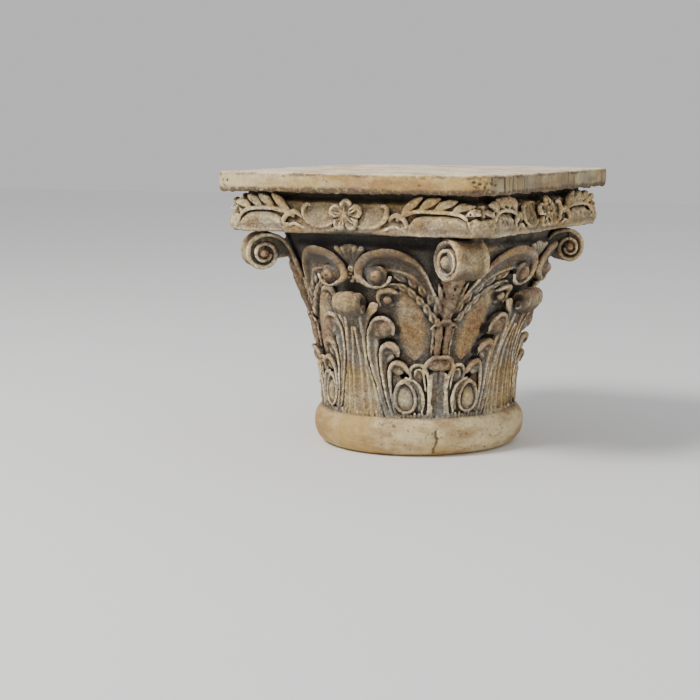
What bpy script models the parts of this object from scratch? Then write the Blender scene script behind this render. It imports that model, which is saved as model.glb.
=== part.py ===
"""Small decorative pedestal in the shape of a Corinthian capital, cast as one piece.

A square slab lies on a carved frieze, a round bell carries acanthus leaves, inner scrolls and four corner
volutes, and a half-round ring is its foot. The origin is on the underside, on the axis, with +Z up and the
wide face of the photograph towards -Y.
"""

import math

import bmesh
import bpy
from mathutils import Matrix, Vector

# Driving dimensions, in metres.
TOTAL_HEIGHT = 0.2286
SLAB_SIDE = 0.254
SLAB_THICKNESS = 0.0156
SLAB_CORNER = 0.026
SLAB_EDGE = 0.0025
FRIEZE_HEIGHT = 0.032
FRIEZE_SIDE = 0.233
FRIEZE_NECK_SIDE = 0.214
FRIEZE_CORNER = 0.015
RING_HEIGHT = 0.031
RING_RADIUS = 0.0885
RING_FOOT_RADIUS = 0.074
RING_SEAT_RADIUS = 0.080
BELL_FOOT_RADIUS = 0.0785
BELL_LIP_RADIUS = 0.114
BELL_FLARE_POWER = 2.1
VOLUTE_REACHES = (0.1515, 0.1455, 0.1480, 0.1515)
VOLUTE_RADII = (0.0185, 0.0160, 0.0165, 0.0170)
VOLUTE_DROP = 0.0195
VOLUTE_WIDTH = 0.034
VOLUTE_RIBBON = 0.0042
VOLUTE_SHRINK = 0.55
VOLUTE_HOLLOW = 0.78
STEM_THICKNESS = 0.0095
STEM_WIDTH = 0.030
CARVING_DEPTH = 0.0060
FRIEZE_RELIEF = 0.0050
ROSETTE_RADIUS = 0.0125

# How the carving leans round the axis, in degrees: most at the foot of the bell, least at the volutes.
LEAN_AT_FOOT = -6.8
LEAN_AT_VOLUTES = -2.0
LEAN_ENDS_AT = 80.0

# How finely the carving is fused and then faceted.
FUSING_STEP = 0.0016
CARVED_FACETS = 6900
ROUND_FACETS = 48

FACES = 4
FACE_TURN = 360.0 / FACES
CORNER_TURN = FACE_TURN / 2
SINK = 0.004

BELL_BASE = RING_HEIGHT - SINK
BELL_TOP = TOTAL_HEIGHT - SLAB_THICKNESS - FRIEZE_HEIGHT
BELL_HEIGHT = BELL_TOP - RING_HEIGHT
FRIEZE_TOP = TOTAL_HEIGHT - SLAB_THICKNESS
VOLUTE_CENTRE_UP = BELL_TOP - VOLUTE_DROP


def clear_scene():
    for item in list(bpy.data.objects):
        bpy.data.objects.remove(item, do_unlink=True)


def smooth_step(share):
    share = min(max(share, 0.0), 1.0)
    return share * share * (3 - 2 * share)


def height_at(rise):
    """Height of a place on the bell, with its rise in percent from the ring to the frieze."""
    return RING_HEIGHT + BELL_HEIGHT * rise / 100


def bell_radius(rise):
    share = min(max(rise / 100, 0.0), 1.0)
    return BELL_FOOT_RADIUS + (BELL_LIP_RADIUS - BELL_FOOT_RADIUS) * share**BELL_FLARE_POWER


def lean_at(rise):
    return LEAN_AT_VOLUTES + (LEAN_AT_FOOT - LEAN_AT_VOLUTES) * smooth_step(
        (LEAN_ENDS_AT - rise) / LEAN_ENDS_AT
    )


def on_bell(turn, rise, stand):
    """A place on the bell: degrees from the front face's middle, percent of rise, depths of relief."""
    angle = math.radians(turn + lean_at(rise))
    radius = bell_radius(rise) + stand * CARVING_DEPTH
    return Vector((radius * math.sin(angle), -radius * math.cos(angle), height_at(rise)))


def on_face(across, height, out):
    """A place on the front face of the frieze, measured from the face's middle."""
    return Vector((across, -out, height))


def smooth_path(points, steps):
    """A smooth row of points, each with all its values, through the given ones."""
    row = [Vector(point) for point in points]
    if len(row) == 2:
        return [row[0].lerp(row[1], step / steps) for step in range(steps + 1)]
    padded = [row[0] * 2 - row[1], *row, row[-1] * 2 - row[-2]]
    path = []
    for index in range(1, len(padded) - 2):
        before, start, end, after = padded[index - 1 : index + 3]
        for step in range(steps):
            t = step / steps
            path.append(
                0.5
                * (
                    2 * start
                    + (end - before) * t
                    + (2 * before - 5 * start + 4 * end - after) * t**2
                    + (3 * start - before - 3 * end + after) * t**3
                )
            )
    path.append(row[-1])
    return path


def add_ring_of_points(bm, centre, side, up, half_width, half_height, count):
    ring = []
    for index in range(count):
        angle = 2 * math.pi * index / count
        ring.append(
            bm.verts.new(centre + side * (half_width * math.cos(angle)) + up * (half_height * math.sin(angle)))
        )
    return ring


def join_rings(bm, rings):
    """Closes a row of rings of points into a solid with flat ends."""
    faces = []
    for lower, upper in zip(rings, rings[1:]):
        count = len(lower)
        for index in range(count):
            after = (index + 1) % count
            faces.append(bm.faces.new((lower[index], lower[after], upper[after], upper[index])))
    faces.append(bm.faces.new(rings[0][::-1]))
    faces.append(bm.faces.new(rings[-1]))
    bmesh.ops.recalc_face_normals(bm, faces=faces)


def sweep(bm, centres, ups, widths, heights, drops):
    """A closed bar along the centres: a domed top that lies square to each up, and a skirt of its drop."""
    rings = []
    last = len(centres) - 1
    for index, centre in enumerate(centres):
        along = centres[min(index + 1, last)] - centres[max(index - 1, 0)]
        side = along.cross(ups[index]).normalized() * widths[index]
        up = side.cross(along).normalized()
        high = up * heights[index]
        low = up * -drops[index]
        section = (side + low, side, side * 0.7 + high * 0.7, high, high * 0.7 - side * 0.7, -side, low - side)
        rings.append([bm.verts.new(centre + offset) for offset in section])
    join_rings(bm, rings)


def add_ball(bm, centre, radii, turn=0.0):
    """An oval ball, turned about the vertical axis by the angle of its face."""
    placed = Matrix.Translation(centre) @ Matrix.Rotation(math.radians(turn), 4, "Z")
    placed = placed @ Matrix.Diagonal((*radii, 1.0))
    bmesh.ops.create_icosphere(bm, subdivisions=2, radius=1.0, matrix=placed)


class Carver:
    """Adds one face's share of the carving, as it stands on one half of one face."""

    def __init__(self, bm, face, half):
        self.bm = bm
        self.turn = face * FACE_TURN
        self.half = half
        self.spin = Matrix.Rotation(math.radians(self.turn), 3, "Z")

    def bell_place(self, turn, rise, stand):
        return on_bell(self.turn + self.half * turn, rise, stand)

    def bar(self, points, steps=4, height=1.0):
        """A bar on the bell through rows of turn, rise, stand and half width, in depths of relief."""
        path = smooth_path(points, steps)
        centres = [self.bell_place(*row[:3]) for row in path]
        outward = [self.bell_place(row[0], row[1], row[2] + 1) for row in path]
        ups = [far - near for far, near in zip(outward, centres)]
        widths = [row[3] * CARVING_DEPTH for row in path]
        heights = [width * height for width in widths]
        drops = [(row[2] + 0.35) * CARVING_DEPTH for row in path]
        sweep(self.bm, centres, ups, widths, heights, drops)

    def ball(self, turn, rise, stand, radii):
        centre = self.bell_place(turn, rise, stand)
        sizes = [radius * CARVING_DEPTH for radius in radii]
        add_ball(self.bm, centre, sizes, self.turn + self.half * turn)

    def face_place(self, across, height, out):
        return self.spin @ on_face(self.half * across, height, out)

    def face_bar(self, points, steps=4):
        """A bar on the frieze through rows of across, height, out and half width, in metres."""
        path = smooth_path(points, steps)
        centres = [self.face_place(*row[:3]) for row in path]
        ups = [self.spin @ Vector((0, -1, 0))] * len(path)
        widths = [row[3] for row in path]
        sweep(self.bm, centres, ups, widths, widths, [FRIEZE_RELIEF] * len(path))

    def face_ball(self, across, height, out, radii):
        add_ball(self.bm, self.face_place(across, height, out), radii, self.turn)


def spiral(centre_turn, centre_rise, radius, shrink, start, sweep_angle, stand, width, steps=10):
    """Rows for a bar that curls inwards round a place on the bell, from a start angle in degrees."""
    rows = []
    for step in range(steps + 1):
        share = step / steps
        angle = math.radians(start + sweep_angle * share)
        reach = radius * shrink**share
        rise = centre_rise + 100 * reach * math.sin(angle) / BELL_HEIGHT
        turn = centre_turn + math.degrees(reach * math.cos(angle) / bell_radius(rise))
        rows.append((turn, rise, stand[0] + (stand[1] - stand[0]) * share, width[0] + (width[1] - width[0]) * share))
    return rows


def rounded_square(bm, side, corner, height, steps):
    ring = []
    for quarter in range(4):
        out_x, out_y = ((1, 1), (-1, 1), (-1, -1), (1, -1))[quarter]
        for step in range(steps + 1):
            angle = math.pi / 2 * (quarter + step / steps)
            x = out_x * (side / 2 - corner) + corner * math.cos(angle)
            y = out_y * (side / 2 - corner) + corner * math.sin(angle)
            ring.append(bm.verts.new((x, y, height)))
    return ring


def add_square_moulding(bm, profile, corner, steps=3):
    """A square solid whose side changes with height, from rows of side and height."""
    join_rings(bm, [rounded_square(bm, side, corner, height, steps) for side, height in profile])


def add_turned(bm, profile, count):
    """A round solid about the axis, from rows of radius and height, bottom to top."""
    axis = Vector((0, 0, 0))
    rings = []
    for radius, height in profile:
        centre = axis + Vector((0, 0, height))
        rings.append(
            add_ring_of_points(bm, centre, Vector((1, 0, 0)), Vector((0, 1, 0)), radius, radius, count)
        )
    join_rings(bm, rings)


def add_bell(bm):
    steps = 16
    profile = [(BELL_FOOT_RADIUS, BELL_BASE)]
    profile += [(bell_radius(100 * step / steps), height_at(100 * step / steps)) for step in range(steps)]
    profile.append((BELL_LIP_RADIUS, BELL_TOP + SINK))
    add_turned(bm, profile, ROUND_FACETS)


def add_frieze(bm):
    lip = FRIEZE_HEIGHT * 0.12
    profile = [(FRIEZE_SIDE, BELL_TOP), (FRIEZE_SIDE, BELL_TOP + lip)]
    steps = 5
    for step in range(1, steps + 1):
        share = step / steps
        side = FRIEZE_SIDE + (FRIEZE_NECK_SIDE - FRIEZE_SIDE) * math.sin(share * math.pi / 2)
        profile.append((side, BELL_TOP + lip + (FRIEZE_HEIGHT - lip) * share))
    profile.append((FRIEZE_NECK_SIDE, FRIEZE_TOP + SINK))
    add_square_moulding(bm, profile, FRIEZE_CORNER)


def carve_central_leaf(carver):
    """Half of the tall leaf in the middle of a face: fluted ribs, a rolled tip and a side lobe."""
    for foot, waist, crown in ((2.3, 1.8, 2.6), (6.2, 4.6, 6.0), (10.2, 6.6, 8.6)):
        carver.bar(
            [
                (foot, 0, 0.3, 0.52),
                (0.55 * foot + 0.45 * waist, 18, 0.8, 0.5),
                (waist, 38, 1.0, 0.44),
                (0.5 * (waist + crown), 48, 1.3, 0.46),
                (crown, 58, 1.7, 0.4),
            ]
        )
    carver.bar([(6.0, 46, 1.0, 0.4), (7.4, 54, 1.3, 0.45), (9.6, 61, 1.4, 0.5), (11.0, 66, 1.2, 0.6)])


def carve_leaf_tip(carver):
    """The rolled tip of the tall leaf."""
    carver.ball(0, 62.0, 1.9, (2.25, 1.75, 2.0))


def carve_side_lobes(carver):
    """The lobes beside the tall leaf, each a stem that hooks over like a crook."""
    carver.bar([(13.6, 2, 0.0, 0.35), (11.6, 18, 0.4, 0.4), (10.2, 32, 0.5, 0.42), (8.8, 42, 0.7, 0.4)])
    carver.bar(
        [(7.0, 42, 0.7, 0.4)]
        + spiral(13.2, 50.5, 0.0108, 0.36, 190, -400, (1.2, 1.7), (0.52, 0.62), 12),
        steps=2,
    )
    carver.bar([(17.0, 2, 0.0, 0.3), (14.6, 18, 0.4, 0.38), (13.8, 30, 0.6, 0.4)])
    carver.bar(
        [(13.8, 28, 0.6, 0.4)]
        + spiral(19.2, 36.0, 0.0084, 0.6, 180, -225, (1.0, 1.3), (0.46, 0.56), 8),
        steps=2,
    )
    carver.bar(
        [(17.3, 14, 0.3, 0.35), (17.4, 22, 0.6, 0.36)]
        + spiral(23.6, 26.8, 0.0082, 0.68, 175, -200, (0.9, 1.1), (0.44, 0.52), 7),
        steps=2,
    )


def carve_loops(carver):
    """The loops at the foot of the bell: a drop, a ribbon beside it and an arch."""
    drop = []
    for step in range(13):
        angle = 2 * math.pi * step / 12
        pinch = 1 - 0.45 * smooth_step(math.cos(angle))
        turn = 25.8 + 5.6 * pinch * math.sin(angle)
        drop.append((turn, 11.5 + 8.2 * math.cos(angle), 0.35, 0.36))
    carver.bar(drop, steps=1)
    carver.bar([(26.5, 20, 0.4, 0.3), (31.4, 17, 0.4, 0.34), (34.6, 11, 0.35, 0.34), (34.6, 5, 0.2, 0.3)])
    carver.bar(
        [
            (29.4, 22, 0.2, 0.3),
            (30.6, 28.5, 0.5, 0.34),
            (34.2, 30.5, 0.6, 0.36),
            (37.4, 26, 0.6, 0.36),
            (39.0, 16, 0.5, 0.34),
            (39.0, 3, 0.2, 0.3),
        ]
    )


def carve_half_corner(carver):
    """Half of the corner stem: trunk, cap, rods, knot and the laurel blades that fan from it."""
    carver.bar([(42.4, 0, 0.3, 0.5), (42.2, 28, 0.6, 0.5)])
    carver.bar(
        [(38.6, 26, 0.5, 0.36), (38.8, 31, 0.9, 0.46), (41.6, 34, 1.1, 0.5), (CORNER_TURN, 34.5, 1.1, 0.5)]
    )
    carver.bar([(42.3, 33, 0.5, 0.5), (42.3, 49, 0.6, 0.46)])
    carver.ball(42.2, 50.5, 0.7, (0.6, 0.6, 0.6))
    carver.bar([(43.4, 52, 0.5, 0.7), (42.8, 66, 0.9, 0.9), (42.0, 76, 1.2, 1.1)])
    for blade in range(3):
        root = (40.6 + 0.6 * blade, 54 + 4 * blade)
        tip = (21.5 + 3.5 * blade, 71 + 4.5 * blade)
        middle = (0.5 * (root[0] + tip[0]) + 1.0, 0.5 * (root[1] + tip[1]) + 1.5)
        carver.bar(
            [
                (*root, 0.5, 0.3),
                (*middle, 1.0, 0.5),
                (*tip, 0.8, 0.32),
            ]
        )
    carver.bar([(24, 74, 0.7, 0.4), (18, 76, 0.8, 0.4), (13.6, 72, 0.7, 0.36), (12.2, 66, 0.5, 0.3)])
    carver.ball(16.6, 66, 0.6, (0.72, 0.72, 0.72))
    carver.ball(27, 50, -0.85, (2.1, 1.15, 4.2))


def carve_helix(carver):
    """The inner scroll under the frieze: it climbs from the corner, turns over and curls to an eye."""
    arch = [(39, 60, 0.5, 0.35), (36, 70, 0.9, 0.42), (32, 79, 1.2, 0.46), (27.5, 87, 1.3, 0.5)]
    curl = spiral(12.4, 81.5, 0.0165, 0.6, 62, 325, (1.3, 1.7), (0.52, 0.4), 14)
    carver.bar(arch + curl, steps=2)
    carver.bar([(33, 70, 0.2, 0.4), (28, 79, 0.5, 0.5), (21, 83, 0.6, 0.5), (15, 82, 0.6, 0.4)])
    carver.ball(12.4, 79.5, 1.2, (0.9, 0.9, 0.9))


def carve_palmette(carver):
    """Half of the fan of petals between the inner scrolls, with the knob below it."""
    for turn, tip_rise in ((0.0, 91), (3.4, 92), (6.8, 93)):
        carver.bar([(0.35 * turn, 82, 1.0, 0.28), (0.8 * turn, 88, 1.3, 0.36), (turn, tip_rise, 1.2, 0.4)])
    carver.ball(0, 81, 1.1, (0.7, 0.7, 0.7))
    carver.bar([(0, 72, 0.4, 0.5), (0, 79, 0.9, 0.5)])


def carve_frieze(carver):
    """Half of a face of the frieze: rosette petals, garland, frond with leaflets and raised panel."""
    out = FRIEZE_SIDE / 2
    low = BELL_TOP
    carver.face_bar(
        [
            (0.006, low + 0.010, out - 0.0030, 0.0022),
            (0.014, low + 0.0055, out - 0.0010, 0.0024),
            (0.025, low + 0.0050, out - 0.0005, 0.0024),
            (0.034, low + 0.0105, out - 0.0015, 0.0024),
            (0.036, low + 0.0170, out - 0.0035, 0.0022),
            (0.031, low + 0.0210, out - 0.0055, 0.0018),
        ]
    )
    carver.face_bar(
        [
            (0.036, low + 0.0050, out - 0.0010, 0.0020),
            (0.044, low + 0.0140, out - 0.0015, 0.0024),
            (0.051, low + 0.0095, out - 0.0010, 0.0024),
            (0.051, low + 0.0050, out - 0.0005, 0.0020),
        ]
    )
    stem = [
        (0.050, low + 0.0120, out - 0.0015, 0.0022),
        (0.060, low + 0.0175, out - 0.0025, 0.0024),
        (0.076, low + 0.0195, out - 0.0030, 0.0024),
        (0.092, low + 0.0190, out - 0.0025, 0.0022),
        (0.102, low + 0.0160, out - 0.0010, 0.0018),
    ]
    carver.face_bar(stem)
    for leaflet in range(5):
        start = 0.054 + 0.0105 * leaflet
        length = 0.013 - 0.0008 * leaflet
        rise = 0.0125 - 0.0015 * leaflet
        foot = low + 0.0175
        carver.face_bar(
            [
                (start, foot, out - 0.0030, 0.0018),
                (start + 0.55 * length, foot + 0.6 * rise, out - 0.0030, 0.0026),
                (start + length, foot + rise, out - 0.0045, 0.0014),
            ],
            steps=3,
        )
    carver.face_ball(0.078, low + 0.0085, out - 0.0045, (0.0255, 0.0065, 0.0085))
    carver.face_bar([(0.050, low + 0.0030, out, 0.0018), (0.104, low + 0.0030, out, 0.0018)])
    carver.face_ball(0.105, low + 0.0195, out - 0.0062, (0.0080, 0.0078, 0.0085))


def carve_rosette(carver):
    """The five-petalled flower in the middle of a face of the frieze."""
    centre = BELL_TOP + FRIEZE_HEIGHT * 0.53
    out = FRIEZE_SIDE / 2 - 0.0030
    petals = 5
    petal = ROSETTE_RADIUS * 0.37
    for index in range(petals):
        angle = math.pi / 2 + 2 * math.pi * index / petals
        across = (ROSETTE_RADIUS - petal) * math.cos(angle)
        height = centre + (ROSETTE_RADIUS - petal) * math.sin(angle)
        carver.face_ball(across, height, out, (petal, FRIEZE_RELIEF, petal))
    carver.face_ball(0, centre, out, (petal * 0.6, FRIEZE_RELIEF * 1.1, petal * 0.6))


def corner_place(face, out, side, height):
    """A place by a corner: distance out along the diagonal, distance across it, and height."""
    rise = 100 * (height - RING_HEIGHT) / BELL_HEIGHT
    angle = math.radians(face * FACE_TURN + CORNER_TURN + lean_at(rise))
    diagonal = Vector((math.sin(angle), -math.cos(angle), 0))
    across = Vector((math.cos(angle), math.sin(angle), 0))
    return diagonal * out + across * side + Vector((0, 0, height))


def spiral_reach(face, turns):
    """Distance of a corner scroll's ribbon from its eye after a number of turns from the top."""
    return VOLUTE_RADII[face] * VOLUTE_SHRINK**turns


def scroll_place(face, out, side, up):
    """A place by a corner scroll's eye: out along the diagonal, across it, and up."""
    centre_out = VOLUTE_REACHES[face] - VOLUTE_RADII[face]
    return corner_place(face, centre_out + out, side, VOLUTE_CENTRE_UP + up)


def turned_place(face, turn, reach, side):
    """A place round a corner scroll's eye, after a number of turns from the top."""
    angle = math.pi / 2 - 2 * math.pi * turn
    return scroll_place(face, reach * math.cos(angle), side, reach * math.sin(angle))


def add_drum(bm, face):
    """The body of a corner scroll, a little narrower and lower than its ribbon."""
    inner = VOLUTE_WIDTH / 2 * VOLUTE_HOLLOW
    count = 20
    rings = []
    for side in (-inner, inner):
        ring = []
        for step in range(count):
            turn = step / count
            ring.append(bm.verts.new(turned_place(face, turn, spiral_reach(face, turn) - VOLUTE_RIBBON / 2, side)))
        rings.append(ring)
    join_rings(bm, rings)


def add_ribbon(bm, face):
    """The ribbon of a corner scroll, wound inwards from the top and thinner towards the eye."""
    half = VOLUTE_WIDTH / 2
    turns = 1.75
    steps = 28
    rings = []
    for step in range(steps + 1):
        turn = turns * step / steps
        outer = spiral_reach(face, turn)
        inner = outer - VOLUTE_RIBBON * VOLUTE_SHRINK ** (0.6 * turn)
        section = ((inner, -half), (outer, -half * 0.94), (outer, half * 0.94), (inner, half))
        rings.append([bm.verts.new(turned_place(face, turn, reach, side)) for reach, side in section])
    join_rings(bm, rings)


def add_stem(bm, face):
    """The stem of a corner scroll: a fluted ribbon from the bell to its top, and the web above it."""
    middle = scroll_place(face, 0, 0, 0)
    diagonal = scroll_place(face, 1, 0, 0) - middle
    upright = Vector((0, 0, 1))
    stem_root = BELL_FOOT_RADIUS * 1.23 + VOLUTE_RADII[face] - VOLUTE_REACHES[face]
    stem_foot = height_at(64) - VOLUTE_CENTRE_UP
    stem_top = VOLUTE_RADII[face] - STEM_THICKNESS / 2
    for side in (-1, 1):
        ribbon = smooth_path(
            [
                (0, stem_top, 1.0),
                (stem_root * 0.42, stem_top * 0.75, 1.0),
                (stem_root * 0.75, stem_top * -0.3, 0.9),
                (stem_root, stem_foot, 0.5),
            ],
            4,
        )
        quarter = STEM_WIDTH / 4
        centres = [scroll_place(face, row[0], side * quarter * row[2], row[1]) for row in ribbon]
        widths = [quarter * 1.2 * row[2] for row in ribbon]
        depths = [STEM_THICKNESS / 2] * len(centres)
        sweep(bm, centres, [diagonal + upright] * len(centres), widths, depths, depths)
    web = []
    web_top = BELL_TOP + SINK - VOLUTE_CENTRE_UP
    for up in (0, web_top):
        ring = []
        for out, side in ((stem_root, -1), (0, -1), (0, 1), (stem_root, 1)):
            ring.append(bm.verts.new(scroll_place(face, out, side * STEM_WIDTH / 3, up)))
        web.append(ring)
    join_rings(bm, web)


def build_carving():
    """The bell, the frieze and all their carving, fused into one body and faceted."""
    bm = bmesh.new()
    add_bell(bm)
    add_frieze(bm)
    for face in range(FACES):
        for half in (-1, 1):
            carver = Carver(bm, face, half)
            carve_central_leaf(carver)
            carve_side_lobes(carver)
            carve_loops(carver)
            carve_half_corner(carver)
            carve_helix(carver)
            carve_palmette(carver)
            carve_frieze(carver)
        carve_rosette(Carver(bm, face, 1))
        carve_leaf_tip(Carver(bm, face, 1))
        add_stem(bm, face)
    mesh = bpy.data.meshes.new("pedestal")
    bm.to_mesh(mesh)
    bm.free()
    carving = bpy.data.objects.new("pedestal", mesh)
    bpy.context.scene.collection.objects.link(carving)
    fuse = carving.modifiers.new("Fuse", "REMESH")
    fuse.mode = "VOXEL"
    fuse.voxel_size = FUSING_STEP
    fuse.use_smooth_shade = True
    soften = carving.modifiers.new("Soften", "SMOOTH")
    soften.factor = 0.5
    soften.iterations = 2
    bpy.context.view_layer.update()
    graph = bpy.context.evaluated_depsgraph_get()
    fused = carving.evaluated_get(graph)
    triangles = 2 * len(fused.data.polygons)
    facet = carving.modifiers.new("Facet", "DECIMATE")
    facet.decimate_type = "COLLAPSE"
    facet.ratio = CARVED_FACETS / triangles
    return carving


def helper_object(name, bm):
    """A crisp solid that is joined to the carving and isn't a part of its own."""
    mesh = bpy.data.meshes.new(name)
    bm.to_mesh(mesh)
    bm.free()
    helper = bpy.data.objects.new(name, mesh)
    helper.hide_render = True
    helper.display_type = "WIRE"
    bpy.context.scene.collection.objects.link(helper)
    return helper


def build_volutes(name, add_form):
    """One form of the corner scrolls, at all four corners."""
    bm = bmesh.new()
    for face in range(FACES):
        add_form(bm, face)
    return helper_object(name, bm)


def build_slab():
    bm = bmesh.new()
    low = SLAB_SIDE - 2 * SLAB_EDGE
    slope = 0.3 * SLAB_EDGE
    profile = [
        (low, FRIEZE_TOP),
        (SLAB_SIDE - 2 * slope, FRIEZE_TOP + slope),
        (SLAB_SIDE, FRIEZE_TOP + SLAB_EDGE),
        (SLAB_SIDE, TOTAL_HEIGHT - SLAB_EDGE),
        (SLAB_SIDE - 2 * slope, TOTAL_HEIGHT - slope),
        (low, TOTAL_HEIGHT),
    ]
    add_square_moulding(bm, profile, SLAB_CORNER, 4)
    return helper_object("slab_form", bm)


def build_ring():
    bm = bmesh.new()
    widest = RING_HEIGHT * 0.58
    profile = []
    steps = 4
    for step in range(steps + 1):
        angle = math.pi / 2 * step / steps
        radius = RING_FOOT_RADIUS + (RING_RADIUS - RING_FOOT_RADIUS) * math.sin(angle)
        profile.append((radius, widest * (1 - math.cos(angle))))
    for step in range(1, steps):
        angle = math.pi / 2 * step / (steps - 1)
        radius = RING_SEAT_RADIUS + (RING_RADIUS - RING_SEAT_RADIUS) * math.cos(angle)
        profile.append((radius, widest + (RING_HEIGHT - widest) * math.sin(angle)))
    add_turned(bm, profile, ROUND_FACETS)
    return helper_object("ring_form", bm)


def cast_material():
    """Sand-coloured casting with a dull surface."""
    material = bpy.data.materials.new("cast_stone")
    material.use_nodes = True
    shader = material.node_tree.nodes["Principled BSDF"]
    shader.inputs["Base Color"].default_value = (0.48, 0.37, 0.24, 1.0)
    shader.inputs["Roughness"].default_value = 0.85
    shader.inputs["Metallic"].default_value = 0.0
    return material


def main():
    clear_scene()
    pedestal = build_carving()
    forms = (
        build_volutes("drum_forms", add_drum),
        build_volutes("ribbon_forms", add_ribbon),
        build_slab(),
        build_ring(),
    )
    for form in forms:
        union = pedestal.modifiers.new(form.name, "BOOLEAN")
        union.operation = "UNION"
        union.solver = "EXACT"
        union.object = form
    pedestal.data.materials.append(cast_material())


main()
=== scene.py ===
import math

import bpy
import numpy as np
from mathutils import Matrix, Vector


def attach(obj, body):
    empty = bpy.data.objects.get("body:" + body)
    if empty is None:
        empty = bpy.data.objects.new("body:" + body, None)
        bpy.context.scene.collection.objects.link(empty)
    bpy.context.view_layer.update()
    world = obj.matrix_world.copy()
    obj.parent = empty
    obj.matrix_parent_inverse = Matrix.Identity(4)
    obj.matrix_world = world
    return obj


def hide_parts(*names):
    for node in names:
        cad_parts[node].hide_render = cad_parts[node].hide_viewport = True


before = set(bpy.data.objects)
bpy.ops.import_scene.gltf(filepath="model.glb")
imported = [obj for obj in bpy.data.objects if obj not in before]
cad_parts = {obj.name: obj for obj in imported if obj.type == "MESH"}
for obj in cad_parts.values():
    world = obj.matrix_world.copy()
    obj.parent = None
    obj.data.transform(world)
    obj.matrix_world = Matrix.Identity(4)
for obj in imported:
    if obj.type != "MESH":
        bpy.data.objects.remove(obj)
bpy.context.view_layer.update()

# All sizes of the sculpting are in millimetres, and angles in degrees.
GRID_STEP = 0.85
PIECE_TRIANGLES = 195000
FAR = 9.0
WITHIN = -5.0
REACH_ROOM = 3.0
SEED = 20
NOISE_CELLS = 32
SHARPNESS = 0.35

TOTAL_HEIGHT = 228.6
SLAB_HALF = 127.0
SLAB_BOTTOM = 213.0
SLAB_CORNER = 26.0
BELL_SPAN = (25.0, 184.0)
FRIEZE_BOTTOM = 181.0
FRIEZE_HALF = 116.5
FRIEZE_CORNER = 15.0
FRIEZE_SPAN = (178.9, 216.5)
FRIEZE_DEPTH = 18.0
ORNAMENT_ASIDE = 6.5
ROSETTE_ASIDE = 4.2
ROSETTE_HEIGHT = 195.8
ROSETTE_HALF = 18.0
RING_TOP = 31.0
RING_REACH = 88.5
RING_FOOT = 74.0
RING_BELLY = 18.0
RING_NECK = 79.0
SCROLL_SCALE = 1.76
VOLUTE_TURN = 42.8
VOLUTE_EYE_HEIGHT = 161.5
VOLUTE_REACHES = (151.5, 145.5, 148.0, 151.5)
VOLUTE_RADII = (18.5, 16.0, 16.5, 17.0)
VOLUTE_TWISTS = (20.0, 0.0, 0.0, 0.0)
VOLUTE_SHIFTS = (3.0, 0.0, 0.0, 0.0)
VOLUTE_RIMS = (9.4, 0.0, 0.0, 0.0)
VOLUTE_HALF_WIDTH = 14.6
VOLUTE_SHRINK = 0.55
VOLUTE_WINDINGS = (1.0, 1.75, 1.6, 1.75)
VOLUTE_EYES = (5.4, 3.6, 4.0, 3.6)


def smooth_step(share):
    share = np.clip(share, 0.0, 1.0)
    return share * share * (3 - 2 * share)


def rise(value, start, span):
    """0 up to the start and 1 beyond the span, smooth between; a negative span turns it round."""
    return smooth_step((value - start) / span)


def mound(a, middle_a, wide, b, middle_b, tall, power=2):
    """1 at a spot and less the further from it."""
    return np.exp(-(((a - middle_a) / wide) ** power) - ((b - middle_b) / tall) ** power)


def bell_radius(height):
    share = np.clip((height - 28.0) / 150.0, 0.0, 1.02)
    return 78.5 + 35.5 * share**2.1


def bell_scale(height):
    """Length of one degree round the bell, in millimetres."""
    return (bell_radius(height) + 3.0) * math.pi / 180


def lean(height):
    """How far the carving is turned round the axis at a height."""
    return -2.0 - 4.8 * rise(height, 150, -90)


def fold(turned, height):
    """Turn from the middle of a face, the same on both sides; low down that middle stands a little aside."""
    aside = 2.0 * rise(height, 142, -12)
    spread = np.mod(turned + 45.0, 90.0) - 45.0
    other = -aside - (aside + spread) * (45.0 + aside) / (45.0 - aside)
    return np.where(spread >= -aside, spread, other)


def union(first, second, blend):
    """Smooth least of two distances."""
    share = np.clip(0.5 + 0.5 * (second - first) / blend, 0.0, 1.0)
    return second + (first - second) * share - blend * share * (1 - share)


def cut(first, second, blend):
    """The first form without the second."""
    return -union(-first, second, blend)


def smooth_rows(rows, spacing, scale):
    """Rows of values on a smooth line through the given ones, no further apart than the spacing."""
    points = np.array(rows, float)
    padded = np.vstack([2 * points[0] - points[1], points, 2 * points[-1] - points[-2]])
    out = []
    for before, start, end, after in zip(padded, padded[1:], padded[2:], padded[3:]):
        length = math.hypot((end[0] - start[0]) * scale, end[1] - start[1])
        steps = max(2, math.ceil(length / spacing))
        share = (np.arange(steps) / steps)[:, None]
        out.append(0.5 * (2 * start + (end - before) * share
                          + (2 * before - 5 * start + 4 * end - after) * share**2
                          + (3 * start - before - 3 * end + after) * share**3))
    return np.vstack([*out, points[-1:]])


def blend_corners(table, low, high, part):
    """Values between the eight cells round each place, by the indices below and above it."""
    total = 0.0
    for i, wi in ((low[0], 1 - part[0]), (high[0], part[0])):
        for j, wj in ((low[1], 1 - part[1]), (high[1], part[1])):
            for k, wk in ((low[2], 1 - part[2]), (high[2], part[2])):
                total = total + wi * wj * wk * table[i, j, k]
    return total


def soft_noise(places, cell, seed):
    """Smooth noise from -1 to 1 at rows of places, with lumps about one cell wide."""
    table = np.random.default_rng(seed).uniform(-1, 1, (NOISE_CELLS,) * 3).astype(np.float32)
    scaled = places / cell + 2.0 * NOISE_CELLS
    low = np.floor(scaled).astype(np.int32)
    part = (scaled - low).astype(np.float32)
    part = part * part * (3 - 2 * part)
    low %= NOISE_CELLS
    high = (low + 1) % NOISE_CELLS
    return blend_corners(table, low.T, high.T, part.T)


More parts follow.
